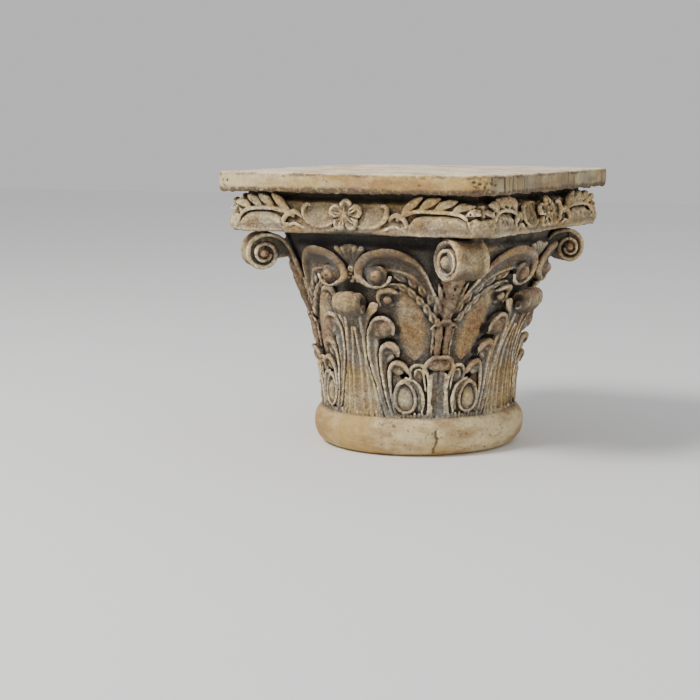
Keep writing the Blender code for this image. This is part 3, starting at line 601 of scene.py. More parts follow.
def carve_frond(relief):
    groove = relief.groove
    relief.stroke([
        (47, 193.5, -1.6, 1.4), (52, 196.6, -0.8, 1.6), (58, 198.6, -0.6, 1.6), (66, 200, -0.8, 1.5),
        (76, 200.4, -1, 1.5), (86, 199.8, -0.8, 1.5), (94, 198, -0.4, 1.5), (100, 194, 0, 1.4),
        (102.6, 188.4, 0.2, 1.2)])
    groove([
        (57, 195.4, -1.8, 0.7), (64, 198, -2, 0.8), (76, 198.8, -2, 0.8), (88, 198, -1.8, 0.8),
        (97, 194.6, -1.2, 0.8), (100.4, 189, -0.6, 0.7)])
    leaves = (
        ((50, 196.2), (58.6, 204.4), (67.6, 210.4), 3.4), ((65.6, 200.6), (73, 206.4), (81.4, 209.8), 3.6),
        ((78, 200.8), (85.2, 206.2), (93.2, 209), 3.6), ((89.6, 199.4), (97.2, 204), (105.6, 205), 3.4),
        ((99, 196.6), (106, 199.6), (114, 200.4), 3), ((101.4, 191.6), (108, 193.6), (115.5, 194.6), 2.8))
    for foot, middle, tip, wide in leaves:
        relief.stroke([
            (*foot, -1.8, 1), (*middle, -1, wide), (tip[0] - 1.5, tip[1] - 0.8, -1.4, 0.5 * wide),
            (*tip, -2, 0.7)], 0.15)
    for foot, middle, tip, wide in leaves:
        groove([
            (foot[0] + 2.5, foot[1] + 1.6, 1, 0.6),
            (middle[0] + 0.4, middle[1] - 0.3, 0.2 + wide, 0.55 * wide),
            (tip[0] - 2.4, tip[1] - 1.4, 1.4, 0.7)])
    for foot, middle, tip, wide in leaves[1:]:
        groove([
            (foot[0] - 1.2, foot[1] + 1.4, -1.6, 0.5), (middle[0] - 2.6, middle[1] + 2.4, -1.6, 0.9),
            (tip[0] - 5, tip[1] + 1.6, -1.8, 0.8)], 0.2, flat=2.5)
    relief.dent(103.4, 198.6, -1.6, (2.5, 2.5, 4))
    relief.ball(108, 188.6, -2.4, (8, 6.6, 4.6), 0.5)
    groove([(57, 186.3, 0.9, 0.6), (70, 186.2, 1, 0.6), (86, 186.2, 1, 0.6), (101, 186.4, 0.9, 0.6)], 0.2)
    groove([(57, 183.7, 1, 0.5), (78, 183.8, 1, 0.5), (100, 183.8, 1, 0.5)], 0.2)


def build_rosette():
    """Five broad hollow petals, turned a little like a pinwheel, round a small button."""
    relief = Relief((-19.8, 20.4, 0.6), (179.0, 214.0, 0.6), (-13.0, 9.2, 0.6))
    centre = ROSETTE_HEIGHT
    relief.ball(0, centre, -4.0, (11.0, 10.0, 6.0), 0.5)
    for angle, reach in ((88, 7.2), (20, 8.6), (-50, 7.9), (-126, 7.9), (162, 8.6)):
        turn = math.radians(angle)
        x, z = math.cos(turn), math.sin(turn)
        spot = (reach * x, centre + 0.92 * reach * z)
        relief.ball(*spot, 0.6, (6.4, 5.9, 3.4), 0.2, tilt=angle)
        relief.dent(spot[0] + 0.6 * z, spot[1] - 0.6 * x, 3.8, (4.6, 3.6, 3.3), tilt=angle)
        relief.stroke([(0.28 * spot[0], centre + 0.28 * (spot[1] - centre), 2.6, 0.5),
                       (spot[0] - 0.8 * z, spot[1] + 0.8 * x, 2.4, 0.7),
                       (1.5 * spot[0] - 2 * z, centre + 1.5 * (spot[1] - centre) + 2 * x, 2.0, 0.5)], 0.2)
        gap = math.radians(angle + 35)
        relief.groove([(4 * math.cos(gap), centre + 4 * math.sin(gap), 2.6, 0.5),
                       (14.5 * math.cos(gap), centre + 13 * math.sin(gap), 1.0, 1.0)], 0.2, flat=2.0)
    relief.ball(0, centre, 2.2, (2.1, 2.0, 1.9), 0.2)
    return relief


def face_places(x, y):
    """Place along the face of the frieze that each spot is nearest to, and how far it stands out of it."""
    along = np.where(np.abs(x) > np.abs(y), np.where(x > 0, y, -y), np.where(y < 0, x, -x))
    return along, np.maximum(np.abs(x), np.abs(y)) - FRIEZE_HALF


def polyline_distance(p, z, line):
    """Distance of places to a line in a corner's upright plane, and the share of the line's length there."""
    best = np.full(p.shape, 1e9, np.float32)
    share_at = np.zeros(p.shape, np.float32)
    for index, (start, end) in enumerate(zip(line, line[1:])):
        go_p, go_z = end[0] - start[0], end[1] - start[1]
        share = np.clip(((p - start[0]) * go_p + (z - start[1]) * go_z) / (go_p**2 + go_z**2), 0, 1)
        away = np.hypot(p - start[0] - share * go_p, z - start[1] - share * go_z)
        closer = away < best
        best = np.where(closer, away, best)
        share_at = np.where(closer, (index + share) / (len(line) - 1), share_at)
    return best, share_at


def volute_distance(face, p, side, z):
    """The corner scroll: a ribbon wound inwards, hollow on both faces, and the web that carries it."""
    radius, rim, size = VOLUTE_RADII[face], VOLUTE_RIMS[face], VOLUTE_EYES[face]
    twist = math.radians(VOLUTE_TWISTS[face])
    side = side + VOLUTE_SHIFTS[face]
    plain_out, plain_spread = p - (VOLUTE_REACHES[face] - radius), np.abs(side)
    out = plain_out * math.cos(twist) + side * math.sin(twist)
    spread = np.abs(side * math.cos(twist) - plain_out * math.sin(twist))
    up = z - VOLUTE_EYE_HEIGHT
    reach = np.hypot(out, up)
    turn = np.mod((90.0 - np.degrees(np.arctan2(up, out))) / 360.0, 1.0)
    body = np.full(p.shape, FAR, np.float32)
    for winding in range(2):
        total = turn + winding
        edge = radius * VOLUTE_SHRINK**total
        thick = 3.8 * 0.75**total
        band = np.abs(reach - edge + thick / 2) - thick / 2
        band = np.where(total < VOLUTE_WINDINGS[face], band, FAR)
        body = np.minimum(body, rounded(band, spread - VOLUTE_HALF_WIDTH - 1.5 * total, 1.0))
    dish = 2.4 * np.exp(-(((reach - 12.0) / 2.6) ** 2)) if rim else 0.0
    core = rounded(reach - radius * VOLUTE_SHRINK**turn + 1.6, spread - 13.3 + dish, 0.8)
    if rim:
        body = np.minimum(body, rounded(np.abs(reach - rim) - 1.0, spread - 15.6, 0.8))
        body = np.minimum(body, rounded(np.hypot(out + 3.0, up - 0.8) - 15.8, spread - 13.6 + dish, 1.2))
    inner = rounded(reach - radius * VOLUTE_SHRINK ** (turn + 1) + 1.0, spread - 14.8, 0.8)
    eye = np.sqrt((reach / size) ** 2 + (np.maximum(spread - 14.0, 0) / 4.6) ** 2) * size - size
    body = union(np.minimum(body, np.minimum(core, inner)), eye, 0.5)
    # The roll's front is a little hollow between its two rims.
    body = body + rise(spread, 12, -6) * rise(reach, 0.7 * radius, 3)
    # The stem goes straight back to the bell, also behind a roll that is turned aside.
    line = smooth_rows([(1, radius - 1.4), (-9, radius - 2.4), (-17, radius - 7), (-23, radius - 15),
                        (-28, radius - 25), (-33, radius - 37)], 3.0, 1.0)
    away, share = polyline_distance(plain_out, up, line)
    half = VOLUTE_HALF_WIDTH - (3.6 if rim else 0.6) - 5.5 * smooth_step(share)
    crest = np.maximum(plain_spread - half, half - 3.5 - plain_spread).clip(0)
    crest = np.sqrt(away**2 + crest**2) - 1.7
    plate = rounded(away - 1.5, plain_spread - half, 0.8)
    top = np.interp(plain_out, line[::-1, 0], line[::-1, 1])
    web = np.maximum.reduce([(up - top) * 0.75, -6.5 - up - 0.16 * plain_out, plain_out,
                             plain_spread - half + 1.0 + 0.05 * np.maximum(-plain_out - 4.0, 0)])
    stem = union(np.minimum(plate, crest), web, 1.0)
    return union(body, stem, 0.8)


def rounded(first, second, radius):
    """Both at once, with the edge between them rounded."""
    a = np.maximum(first + radius, 0)
    b = np.maximum(second + radius, 0)
    return np.minimum(np.maximum(first, second), -radius) + np.hypot(a, b)


def rounded_box(x, y, half, corner):
    """Signed distance to a square with rounded corners, in plan."""
    a = np.abs(x) - half + corner
    b = np.abs(y) - half + corner
    return np.hypot(np.maximum(a, 0), np.maximum(b, 0)) + np.minimum(np.maximum(a, b), 0) - corner


def chosen_places(near, xs, zs):
    """Indices of the chosen points of a grid, and their places."""
    spots = np.nonzero(near)
    return spots, np.stack([xs[spots[0]], xs[spots[1]], zs[spots[2]]], 1)


def box_spans(xs, zs, middle, halves):
    """The part of the grid in a box round a place."""
    return tuple(slice(*np.searchsorted(values, (value - half, value + half)))
                 for values, value, half in zip((xs, xs, zs), middle, halves))


def grid_places(spans, xs, zs):
    """Places in a part of the grid, each axis in its own direction."""
    return xs[spans[0]][:, None, None], xs[spans[1]][None, :, None], zs[spans[2]][None, None, :]


def build_field():
    """The whole pedestal as signed distances on one grid."""
    half = SLAB_HALF + 2.5
    xs = np.arange(-half, half + GRID_STEP, GRID_STEP, dtype=np.float32)
    zs = np.arange(-3.0, TOTAL_HEIGHT + 3.0, GRID_STEP, dtype=np.float32)
    x = xs[:, None]
    y = xs[None, :]
    radius = np.hypot(x, y)
    angle = np.degrees(np.arctan2(x, -y))
    field = np.full((xs.size, xs.size, zs.size), FAR, np.float32)

    bell = build_bell()
    frieze = build_frieze()
    rosette = build_rosette()
    along, stand = face_places(x, y)
    drift = ORNAMENT_ASIDE * (1 - rise(np.abs(along), 60, 50))
    corner_plan = rounded_box(x, y, FRIEZE_HALF + 7.0, FRIEZE_CORNER + 24.0)
    for k, z in enumerate(zs):
        layer = field[:, :, k]
        if BELL_SPAN[0] < z < BELL_SPAN[1]:
            ground = float(bell_radius(z))
            layer[radius < ground - 5.0] = WITHIN
            near = (radius >= ground - 5.0) & (radius < ground + 23.0)
            places = chosen_places(near[:, :, None], xs, zs[k:])[1]
            sway, lift, swell = (
                soft_noise(places, cell, SEED + add) for cell, add in ((26.0, 1), (22.0, 2), (15.0, 3)))
            folded = fold(angle[near] - lean(z) + 0.75 * sway, z)
            layer[near] = bell.sample(folded, z + 0.9 * lift, radius[near] - ground + 0.45 * swell)
        if FRIEZE_SPAN[0] < z < FRIEZE_SPAN[1]:
            near = (stand < 7.5) & (stand > -FRIEZE_DEPTH)
            places = chosen_places(near[:, :, None], xs, zs[k:])[1]
            sway = soft_noise(places, 24.0, SEED + 4)
            swell = soft_noise(places, 14.0, SEED + 5)
            across = np.abs(along[near] + drift[near] + 1.2 * sway)
            value = frieze.sample(across, z + 0.8 * swell, stand[near])
            flower = np.abs(along[near] + ROSETTE_ASIDE) < ROSETTE_HALF
            bloom = rosette.sample(along[near][flower] + ROSETTE_ASIDE, z, stand[near][flower])
            value[flower] = np.minimum(value[flower], bloom)
            inset = np.interp(z, (181, 183, 188, 193, 195.5, 198.5, 201, 204, 206, 213),
                              (2.4, 0.4, -1.6, -0.6, 1.6, -0.8, 1.2, 0.2, 2.0, 5.0))
            solid = np.where(stand <= -FRIEZE_DEPTH, WITHIN, FAR).astype(np.float32)
            solid[near] = np.maximum(value, corner_plan[near] + inset + 1.2 * swell)
            layer[...] = union(layer, np.maximum(solid, FRIEZE_BOTTOM - z), 0.8)
    add_volutes(field, xs, zs)
    roughen(field, xs, zs)
    # Deeper grooves and prouder ridges, as the carving has them.
    below = field[:, :, : np.searchsorted(zs, SLAB_BOTTOM - 2.0)]
    carved = np.clip(below, -4.0, 4.0)
    below += SHARPNESS * (carved - box_blur(carved, max(1, round(2.0 / GRID_STEP))))
    add_slab(field, xs, zs, x, y)
    add_ring(field, xs, zs, radius)
    add_damage(field, xs, zs)
    return field, xs, zs


def roughen(field, xs, zs):
    """Uneven skin near the surface, as a worn casting has it."""
    spots, places = chosen_places(np.abs(field) < 2.5, xs, zs)
    lumps = 0.24 * soft_noise(places, 6.5, SEED + 6) + 0.20 * soft_noise(places, 2.5, SEED + 7)
    x, y, z = places.T
    turned = fold(np.degrees(np.arctan2(x, -y)) - lean(z), z)
    lumps *= 1 + 1.8 * rise(x, 98, 4) * rise(z, 185, 4) * rise(z, 212, -3)
    lumps *= 1 + 0.4 * mound(turned, -2, 8, z, 123, 9)
    lumps *= 1 + 1.4 * rise(turned, 38, 2) * rise(z, 154, -8)
    field[spots] += lumps


def add_volutes(field, xs, zs):
    # Each volute lies in a box this far from the axis and this high.
    far, high, halves = 126.0, 157.5, (37.0, 37.0, 25.5)
    for face in range(4):
        turn = math.radians(90.0 * face + VOLUTE_TURN)
        sin, cos = math.sin(turn), math.cos(turn)
        spans = box_spans(xs, zs, (far * sin, -far * cos, high), halves)
        x, y, z = grid_places(spans, xs, zs)
        p = x * sin - y * cos + 0.0 * z
        side = x * cos + y * sin + 0.0 * z
        distance = volute_distance(face, p, side, z + 0.0 * p).astype(np.float32)
        field[spans] = union(field[spans], distance, 1.2)


def add_slab(field, xs, zs, x, y):
    k0 = np.searchsorted(zs, SLAB_BOTTOM - 8.0)
    z = zs[k0:][None, None, :]
    plan = rounded_box(x, y, SLAB_HALF, SLAB_CORNER)[:, :, None]
    half = (TOTAL_HEIGHT - SLAB_BOTTOM) / 2
    slab = rounded(plan, np.abs(z - (TOTAL_HEIGHT + SLAB_BOTTOM) / 2) - half, 2.4).astype(np.float32)
    # The far right-hand corner is worn round.
    end, flat = 16.0, 0.8
    over = np.sqrt(2 * np.maximum(x - SLAB_HALF + end, 0) * np.maximum(y - SLAB_HALF + end, 0))[:, :, None]
    high = np.maximum(np.abs(z - TOTAL_HEIGHT + half) - flat, 0) * end / (half - flat)
    slab = np.maximum(slab, np.where(over > 0, np.hypot(over, high) - end, -FAR)).astype(np.float32)
    spots, places = chosen_places(np.abs(slab) < 3.0, xs, zs[k0:])
    wear = 0.30 * soft_noise(places, 21.0, SEED + 8) + 0.22 * soft_noise(places, 6.0, SEED + 9)
    # The lower edge is ragged, and upright strokes of the mould show on the right-hand side.
    low = np.exp(-(((places[:, 2] - SLAB_BOTTOM) / 3.0) ** 2))
    wear += low * (0.5 + 1.3 * soft_noise(places, 4.0, SEED + 10))
    strokes = 1.2 * np.abs(soft_noise(places * (0.0, 1.0, 0.12), 3.6, SEED + 11)) ** 1.5
    wear += (places[:, 0] > SLAB_HALF - 3.0) * strokes
    slab[spots] += wear
    field[:, :, k0:] = np.minimum(field[:, :, k0:], slab)


def add_ring(field, xs, zs, radius):
    z = zs[: np.searchsorted(zs, RING_TOP + 8.0)]
    share = np.clip(z / RING_BELLY, 0, 1)
    lower = RING_FOOT + (RING_REACH - RING_FOOT) * np.sqrt(np.clip(1 - (1 - share) ** 2, 0, 1))
    share = np.clip((z - RING_BELLY) / 14.0, 0, 1)
    upper = RING_NECK + (RING_REACH - RING_NECK) * np.sqrt(np.clip(1 - share**2, 0, 1))
    out = radius[:, :, None] - np.where(z < RING_BELLY, lower, upper)
    ring = np.maximum(out * 0.85, np.maximum(-z, z - 32.0)).astype(np.float32)
    spots, places = chosen_places((np.abs(out) < 3.0) & (z > 1.0), xs, zs)
    wear = 0.45 * soft_noise(places, 26.0, SEED + 12) + 0.16 * soft_noise(places, 5.0, SEED + 13)
    ring[spots] += wear
    field[:, :, : z.size] = np.minimum(field[:, :, : z.size], ring)


def pick(field, xs, zs, place, size):
    """Takes a small round bite out of the piece."""
    spans = box_spans(xs, zs, place, (size + 1.5,) * 3)
    x, y, z = (values - value for values, value in zip(grid_places(spans, xs, zs), place))
    field[spans] = np.maximum(field[spans], size - np.sqrt(x**2 + y**2 + z**2))


def add_damage(field, xs, zs):
    """Chips and pits in the slab and the ring, and the crack low in front."""
    rng = np.random.default_rng(SEED + 14)
    low, high = SLAB_BOTTOM + 0.5, TOTAL_HEIGHT - 0.5
    for face in range(4):
        turn = math.radians(90 * face)
        sin, cos = math.sin(turn), math.cos(turn)
        for _ in range(26 if face < 2 else 16):
            along = rng.uniform(-104, 104)
            edge = rng.choice((low, low, high, rng.uniform(215, 227)))
            size = rng.uniform(1.1, 2.6) if edge < 226 else rng.uniform(0.9, 1.6)
            out = SLAB_HALF + size - rng.uniform(0.5, 1.1)
            pick(field, xs, zs, (along * cos + out * sin, along * sin - out * cos, edge), size)
    # A cluster of holes by the right-hand end of the front, and a few by its left-hand end.
    for middle, width, count in ((116.0, 8.0, 46), (-111.0, 5.0, 9), (62.0, 8.0, 6)):
        for _ in range(count):
            size = rng.uniform(0.9, 1.6)
            along = middle + rng.uniform(-width, width)
            bend = min(max(abs(along) - SLAB_HALF + SLAB_CORNER, 0), SLAB_CORNER - 0.5)
            out = SLAB_HALF - SLAB_CORNER + math.sqrt(SLAB_CORNER**2 - bend**2) + size
            pick(field, xs, zs, (along, rng.uniform(1.0, 1.8) - out, rng.uniform(214, 228)), size)
    for _ in range(40):
        turn = math.radians(rng.uniform(0, 360))
        size = rng.uniform(0.8, 1.6)
        out = RING_REACH + size - rng.uniform(0.6, 1.2)
        pick(field, xs, zs, (out * math.sin(turn), -out * math.cos(turn), rng.uniform(10, 24)), size)
    turn = 35.2
    for height in np.arange(3.0, 23.0, 0.7):
        turn += rng.uniform(-0.35, 0.35)
        share = min(1.0, height / RING_BELLY)
        out = RING_FOOT + (RING_REACH - RING_FOOT) * math.sqrt(1 - (1 - share) ** 2)
        angle = math.radians(turn)
        pick(field, xs, zs, (out * math.sin(angle), -out * math.cos(angle), height), rng.uniform(1.1, 1.8))


def surface_of(field, xs, zs):
    """Vertices and four-sided faces of the surface where the field is zero."""
    inside = field < 0
    shape = tuple(n - 1 for n in field.shape)
    count = np.zeros(shape, np.uint8)
    for i, j, k in np.ndindex(2, 2, 2):
        count += inside[i : i + shape[0], j : j + shape[1], k : k + shape[2]]
    cells = np.argwhere((count > 0) & (count < 8)).astype(np.int32)
    index = np.full(shape, -1, np.int32)
    index[tuple(cells.T)] = np.arange(len(cells), dtype=np.int32)
    total = np.zeros((len(cells), 3), np.float32)
    crossings = np.zeros(len(cells), np.float32)
    faces = []
    for axis in range(3):
        one, two = [other for other in range(3) if other != axis]
        # Each cell has four edges along this axis, and its vertex is the mean of their crossings.
        for second, first in np.ndindex(2, 2):
            start = np.zeros(3, np.int32)
            start[[one, two]] = first, second
            end = start.copy()
            end[axis] = 1
            a, b = field[tuple((cells + start).T)], field[tuple((cells + end).T)]
            hit = (a < 0) != (b < 0)
            share = np.where(hit, a / np.where(hit, a - b, 1.0), 0.0)
            point = start.astype(np.float32) + share[:, None] * (end - start).astype(np.float32)
            total += np.where(hit[:, None], point, 0.0)
            crossings += hit
        # A face stands on each grid edge that leaves the solid.
        low, high = [slice(1, -1)] * 3, [slice(1, -1)] * 3
        low[axis], high[axis] = slice(0, -1), slice(1, None)
        before, after = inside[tuple(low)], inside[tuple(high)]
        for leaves, flip in ((before & ~after, False), (after & ~before, True)):
            spots = np.argwhere(leaves).astype(np.int32)
            corners = []
            for step_one, step_two in ((0, 0), (1, 0), (1, 1), (0, 1)):
                spot = spots.copy()
                spot[:, one] += 1 - step_one
                spot[:, two] += 1 - step_two
                corners.append(index[tuple(spot.T)])
            quad = np.stack(corners, 1)
            faces.append(quad[:, ::-1] if flip != (axis == 1) else quad)
    origin = np.array((xs[0], xs[0], zs[0]), np.float32)
    return origin + GRID_STEP * (cells + total / crossings[:, None]), np.vstack(faces)


def box_blur(field, reach):
    """Mean over a cube of the given reach in grid steps, one axis after another."""
    width = 2 * reach + 1
    for axis in range(3):
        before = np.repeat(field.take([0], axis), reach + 1, axis)
        after = np.repeat(field.take([-1], axis), reach, axis)
        sums = np.cumsum(np.concatenate([before, field, after], axis), axis, dtype=np.float64)
        count = sums.shape[axis]
        field = (sums.take(range(width, count), axis) - sums.take(range(count - width), axis)) / width
        field = field.astype(np.float32)
    return field


def sample_grid(field, step, origin, places):
    """The field at any places, smoothly between the grid's own."""
    place = np.clip((places - origin) / step, 0, np.array(field.shape) - 1.001)
    low = place.astype(np.int32)
    return blend_corners(field, low.T, low.T + 1, (place - low).astype(np.float32).T)


def build_piece():
    field, xs, zs = build_field()
    vertices, faces = surface_of(field, xs, zs)
    mesh = bpy.data.meshes.new("pedestal_relief")
    mesh.vertices.add(len(vertices))
    mesh.vertices.foreach_set("co", (vertices / 1000).astype(np.float32).ravel())
    mesh.loops.add(faces.size)
    mesh.loops.foreach_set("vertex_index", faces.astype(np.int32).ravel())
    mesh.polygons.add(len(faces))
    mesh.polygons.foreach_set("loop_start", np.arange(0, faces.size, 4, dtype=np.int32))
    mesh.update(calc_edges=True)
    mesh.validate()
    piece = bpy.data.objects.new("pedestal_relief", mesh)
    bpy.context.scene.collection.objects.link(piece)
    thin = piece.modifiers.new("Thin", "DECIMATE")
    thin.ratio = min(1.0, PIECE_TRIANGLES / (2 * len(faces)))
    bpy.context.view_layer.update()
    graph = bpy.context.evaluated_depsgraph_get()
    final = bpy.data.meshes.new_from_object(piece.evaluated_get(graph))
    piece.modifiers.clear()
    piece.data = final
    final.name = "pedestal_relief"
    final.polygons.foreach_set("use_smooth", np.ones(len(final.polygons), bool))
    return piece, field, xs, zs


def vertex_rows(mesh, name):
    rows = np.empty(len(mesh.vertices) * 3, np.float32)
    mesh.vertices.foreach_get(name, rows)
    return rows.reshape(-1, 3)


def mark_surface(piece, field, xs, zs):
    """Writes what the colouring follows on each vertex: hollows of three sizes, plain panels, zones and
    painted shade.
    """
    mesh = piece.data
    places = vertex_rows(mesh, "co") * 1000
    normals = vertex_rows(mesh, "normal")
    upward = normals[:, 2]
    origin = np.array((xs[0], xs[0], zs[0]), np.float32)
    solid = np.clip(0.5 - field / (2 * GRID_STEP), 0, 1).astype(np.float32)
    marks = {}
    for name, size in (("fine", 1.7), ("broad", 4.5)):
        blurred = box_blur(solid, max(1, round(size / GRID_STEP)))
        marks[name] = 2 * sample_grid(blurred, GRID_STEP, origin, places) - 1
    fine, broad = marks["fine"], marks["broad"]
    # A wide blur of the solid, for painted shade in deep hollows and under overhangs.
    coarse = 3 * GRID_STEP
    blurred = box_blur(box_blur(solid[::3, ::3, ::3], round(7.0 / coarse)), round(7.0 / coarse))
    marks["shade"] = 2 * sample_grid(blurred, coarse, origin, places) - 1
    x, y, z = places.T
    angle = np.degrees(np.arctan2(x, -y))
    folded = fold(angle - lean(z), z)
    around = np.hypot(x, y)
    stand = around - bell_radius(z)
    marks["panel"] = smooth_step(panel_share(folded, z) * 1.9) * rise(stand, 3.4, -1)
    carved = rise(z, 29, 5) * rise(z, 186, -6)
    marks["crest"] = rise(upward, 0.1, 0.5) * rise(broad, 0.1, -0.25) * carved
    marks["stalk"] = rise(folded, 38, 1.6) * rise(z, 80, 4) * rise(z, 150, -12)
    # The right-hand side of the slab, greyed as painted shade and streaked.
    marks["east"] = rise(x, 116, 8) * rise(z, 204, 4) * (1 - rise(upward, 0.5, 0.3))
    # The slab's top, pale with powder and painted top light.
    marks["top"] = rise(upward, 0.5, 0.4) * rise(z, 222, 3)
    # Painted shade under the frieze, behind the rolled tips, on undersides and in the hollows of the
    # right-hand frieze, less on the lit side.
    under = rise(z, 158, 12) * rise(z, 184, -2) * (1 - rise(stand, 2, 4))
    beside = rise(z, 136, 12) * rise(folded, 31, 4) * rise(z, 182, -2) * (1 - rise(stand, 1, 3))
    tip = 0.6 * mound(folded, 3, 7, z, 139.6, 4.4) * (1 - rise(stand, 4, 3))
    below = rise(-upward, 0.25, 0.5) * np.maximum(0.75 * carved, 0.35 * rise(z, 205, 3))
    high = 0.6 * rise(z, 148, 16) * carved * rise(around, 132, -8)
    lit = rise(angle, 47, 4) * rise(angle, 112, -24) * rise(z, 140, 10)
    painted_shade = np.maximum.reduce([under, beside, tip, below, high]) * (1 - 0.75 * lit)
    band = rise(x, 100, 5) * rise(z, 187, 3) * rise(z, 212, -3)
    marks["painted_shade"] = np.maximum(painted_shade, 0.9 * band * rise(fine, -0.02, 0.26))
    # The cups of the curls, brown inside, all open towards the nearest corner.
    turned = np.radians(angle)
    ahead = np.mod(angle - lean(z) + 45.0, 90.0) - 45.0 >= -2.0 * rise(z, 142, -12)
    facing = (normals[:, 0] * np.cos(turned) + normals[:, 1] * np.sin(turned)) * np.where(ahead, 1.0, -1.0)
    cup = [mound(folded, turn, wide, z, height, tall, 4) for turn, height, wide, tall in (
        (6.6, 124.6, 5, 10), (19, 103, 4.6, 8.5), (22.8, 85, 4.2, 6.5), (28, 69.5, 4, 5.5),
        (19, 130, 4, 6.5), (16.5, 147, 4, 7.5))]
    marks["cup"] = np.maximum.reduce(cup) * rise(facing, 0.12, 0.4) * rise(broad, -0.6, 0.35)
    # Rust-brown on the rounded fronts of the forms and on the corner scrolls.
    rust = np.maximum.reduce([
        mound(folded, turn, wide, z, height, tall) * rise(stand - low, -1.5, 3)
        for turn, height, wide, tall, low in (
            (15.2, 107, 4.2, 8, 6.5), (18.4, 91, 4, 5, 5), (24, 76, 4, 4, 4.5), (45, 76, 8, 5, 4),
            (4, 156, 3.4, 9, 7), (12, 168, 9, 4.4, 6.5), (21, 165, 6, 5, 5.5), (28, 156.5, 4, 6, 4.8),
            (11.4, 147.4, 3.2, 5.6, 8.5), (15.4, 128.8, 2.2, 3.6, 4))])
    front = 0.0
    for face in range(4):
        turn = math.radians(90.0 * face + VOLUTE_TURN)
        p = x * math.sin(turn) - y * math.cos(turn)
        side = np.abs(x * math.cos(turn) + y * math.sin(turn) + VOLUTE_SHIFTS[face])
        reach = np.hypot(p - VOLUTE_REACHES[face] + VOLUTE_RADII[face], z - VOLUTE_EYE_HEIGHT)
        there = (p > 100.0) * rise(z, 136, 4) * rise(z, 182, -2)
        eye = 0.9 * there * rise(reach, 6.4, -1.5) * rise(side, 12, 2)
        foot = 0.85 * (there * rise(side, 15, -2) * rise(z, 159, -8) * rise(reach, 9, 3))
        rust = np.maximum.reduce([rust, eye, foot])
        front = np.maximum(front, there * rise(side, 13, -2) * rise(p, 118, 8))
    marks["rust"] = rust * rise(z, 182, -2)
    # The wash: everywhere on the carving, less on the leaves' feet, the tips, the cushions and the scrolls.
    outer = rise(around, 118, 8) * rise(z, 184, -4)
    warm = rise(z, 84, -30) * rise(np.abs(folded), 13, -3)
    knob = mound(folded, -2, 8, z, 126, 9) * rise(stand, 9, 3)
    wash = carved * (1 - 0.2 * outer) * (1 - 0.66 * warm) * (1 - 0.6 * knob)
    wash = wash + 0.42 * (rise(z, 180, 6) * rise(z, 214, -3))
    marks["wash"] = wash * (1 - 0.6 * mound(folded, 25.8, 4.4, z, 47, 8.6, 4)) * (1 - 0.5 * front)
    for name, values in marks.items():
        mesh.attributes.new(name, "FLOAT", "POINT").data.foreach_set("value", values.astype(np.float32))


class Nodes:
    """Short ways to lay out a material's nodes, and the colour that its coats build up."""

    def __init__(self, material):
        material.use_nodes = True
        self.tree = material.node_tree
        self.shader = self.tree.nodes["Principled BSDF"]
        self.place = self.add("TexCoord", {})["Object"]
        self.colour = None

    def put(self, socket, value):
        if isinstance(value, bpy.types.NodeSocket):
            self.tree.links.new(value, socket)
        else:
            socket.default_value = value

    def add(self, kind, sockets, **settings):
        node = self.tree.nodes.new("ShaderNode" + kind)
        for name, value in settings.items():
            setattr(node, name, value)
        for key, value in sockets.items():
            self.put(node.inputs[key], value)
        return node.outputs

    def mark(self, name):
        return self.add("Attribute", {}, attribute_name=name)["Fac"]

    def noise(self, scale, detail=3.0, roughness=0.55, stretch=None):
        place = self.place
        if stretch:
            place = self.add("Mapping", {"Scale": stretch, "Vector": place})["Vector"]
        sockets = {"Vector": place, "Scale": scale, "Detail": detail, "Roughness": roughness}
        return self.add("TexNoise", sockets)["Fac"]

    def math(self, kind, first, second=0.0):
        return self.add("Math", {0: first, 1: second}, operation=kind)[0]

    def times(self, first, *others):
        for other in others:
            first = self.math("MULTIPLY", first, other)
        return first

    def plus(self, first, *others):
        for other in others:
            first = self.math("ADD", first, other)
        return first

    def sway(self, noise, width):
        """Noise to both sides of zero."""
        return self.times(self.math("SUBTRACT", noise, 0.5), width)

    def ramp(self, value, low, high, to_low=0.0, to_high=1.0):
        sockets = {"Value": value, "From Min": low, "From Max": high, "To Min": to_low, "To Max": to_high}
        return self.add("MapRange", sockets, interpolation_type="SMOOTHSTEP")["Result"]

    def mix(self, share, first, second, kind="MIX"):
        return self.add("Mix", {0: share, 6: first, 7: second}, data_type="RGBA", blend_type=kind)[2]

    def coat(self, colour, *shares, kind="MIX"):
        """Lays a colour over the ones so far, as far as all the shares allow."""
        self.colour = self.mix(self.times(*shares), self.colour, colour, kind)

    def bump(self, height, strength, distance, **sockets):
        sockets |= {"Strength": strength, "Distance": distance, "Height": height}
        return self.add("Bump", sockets)["Normal"]


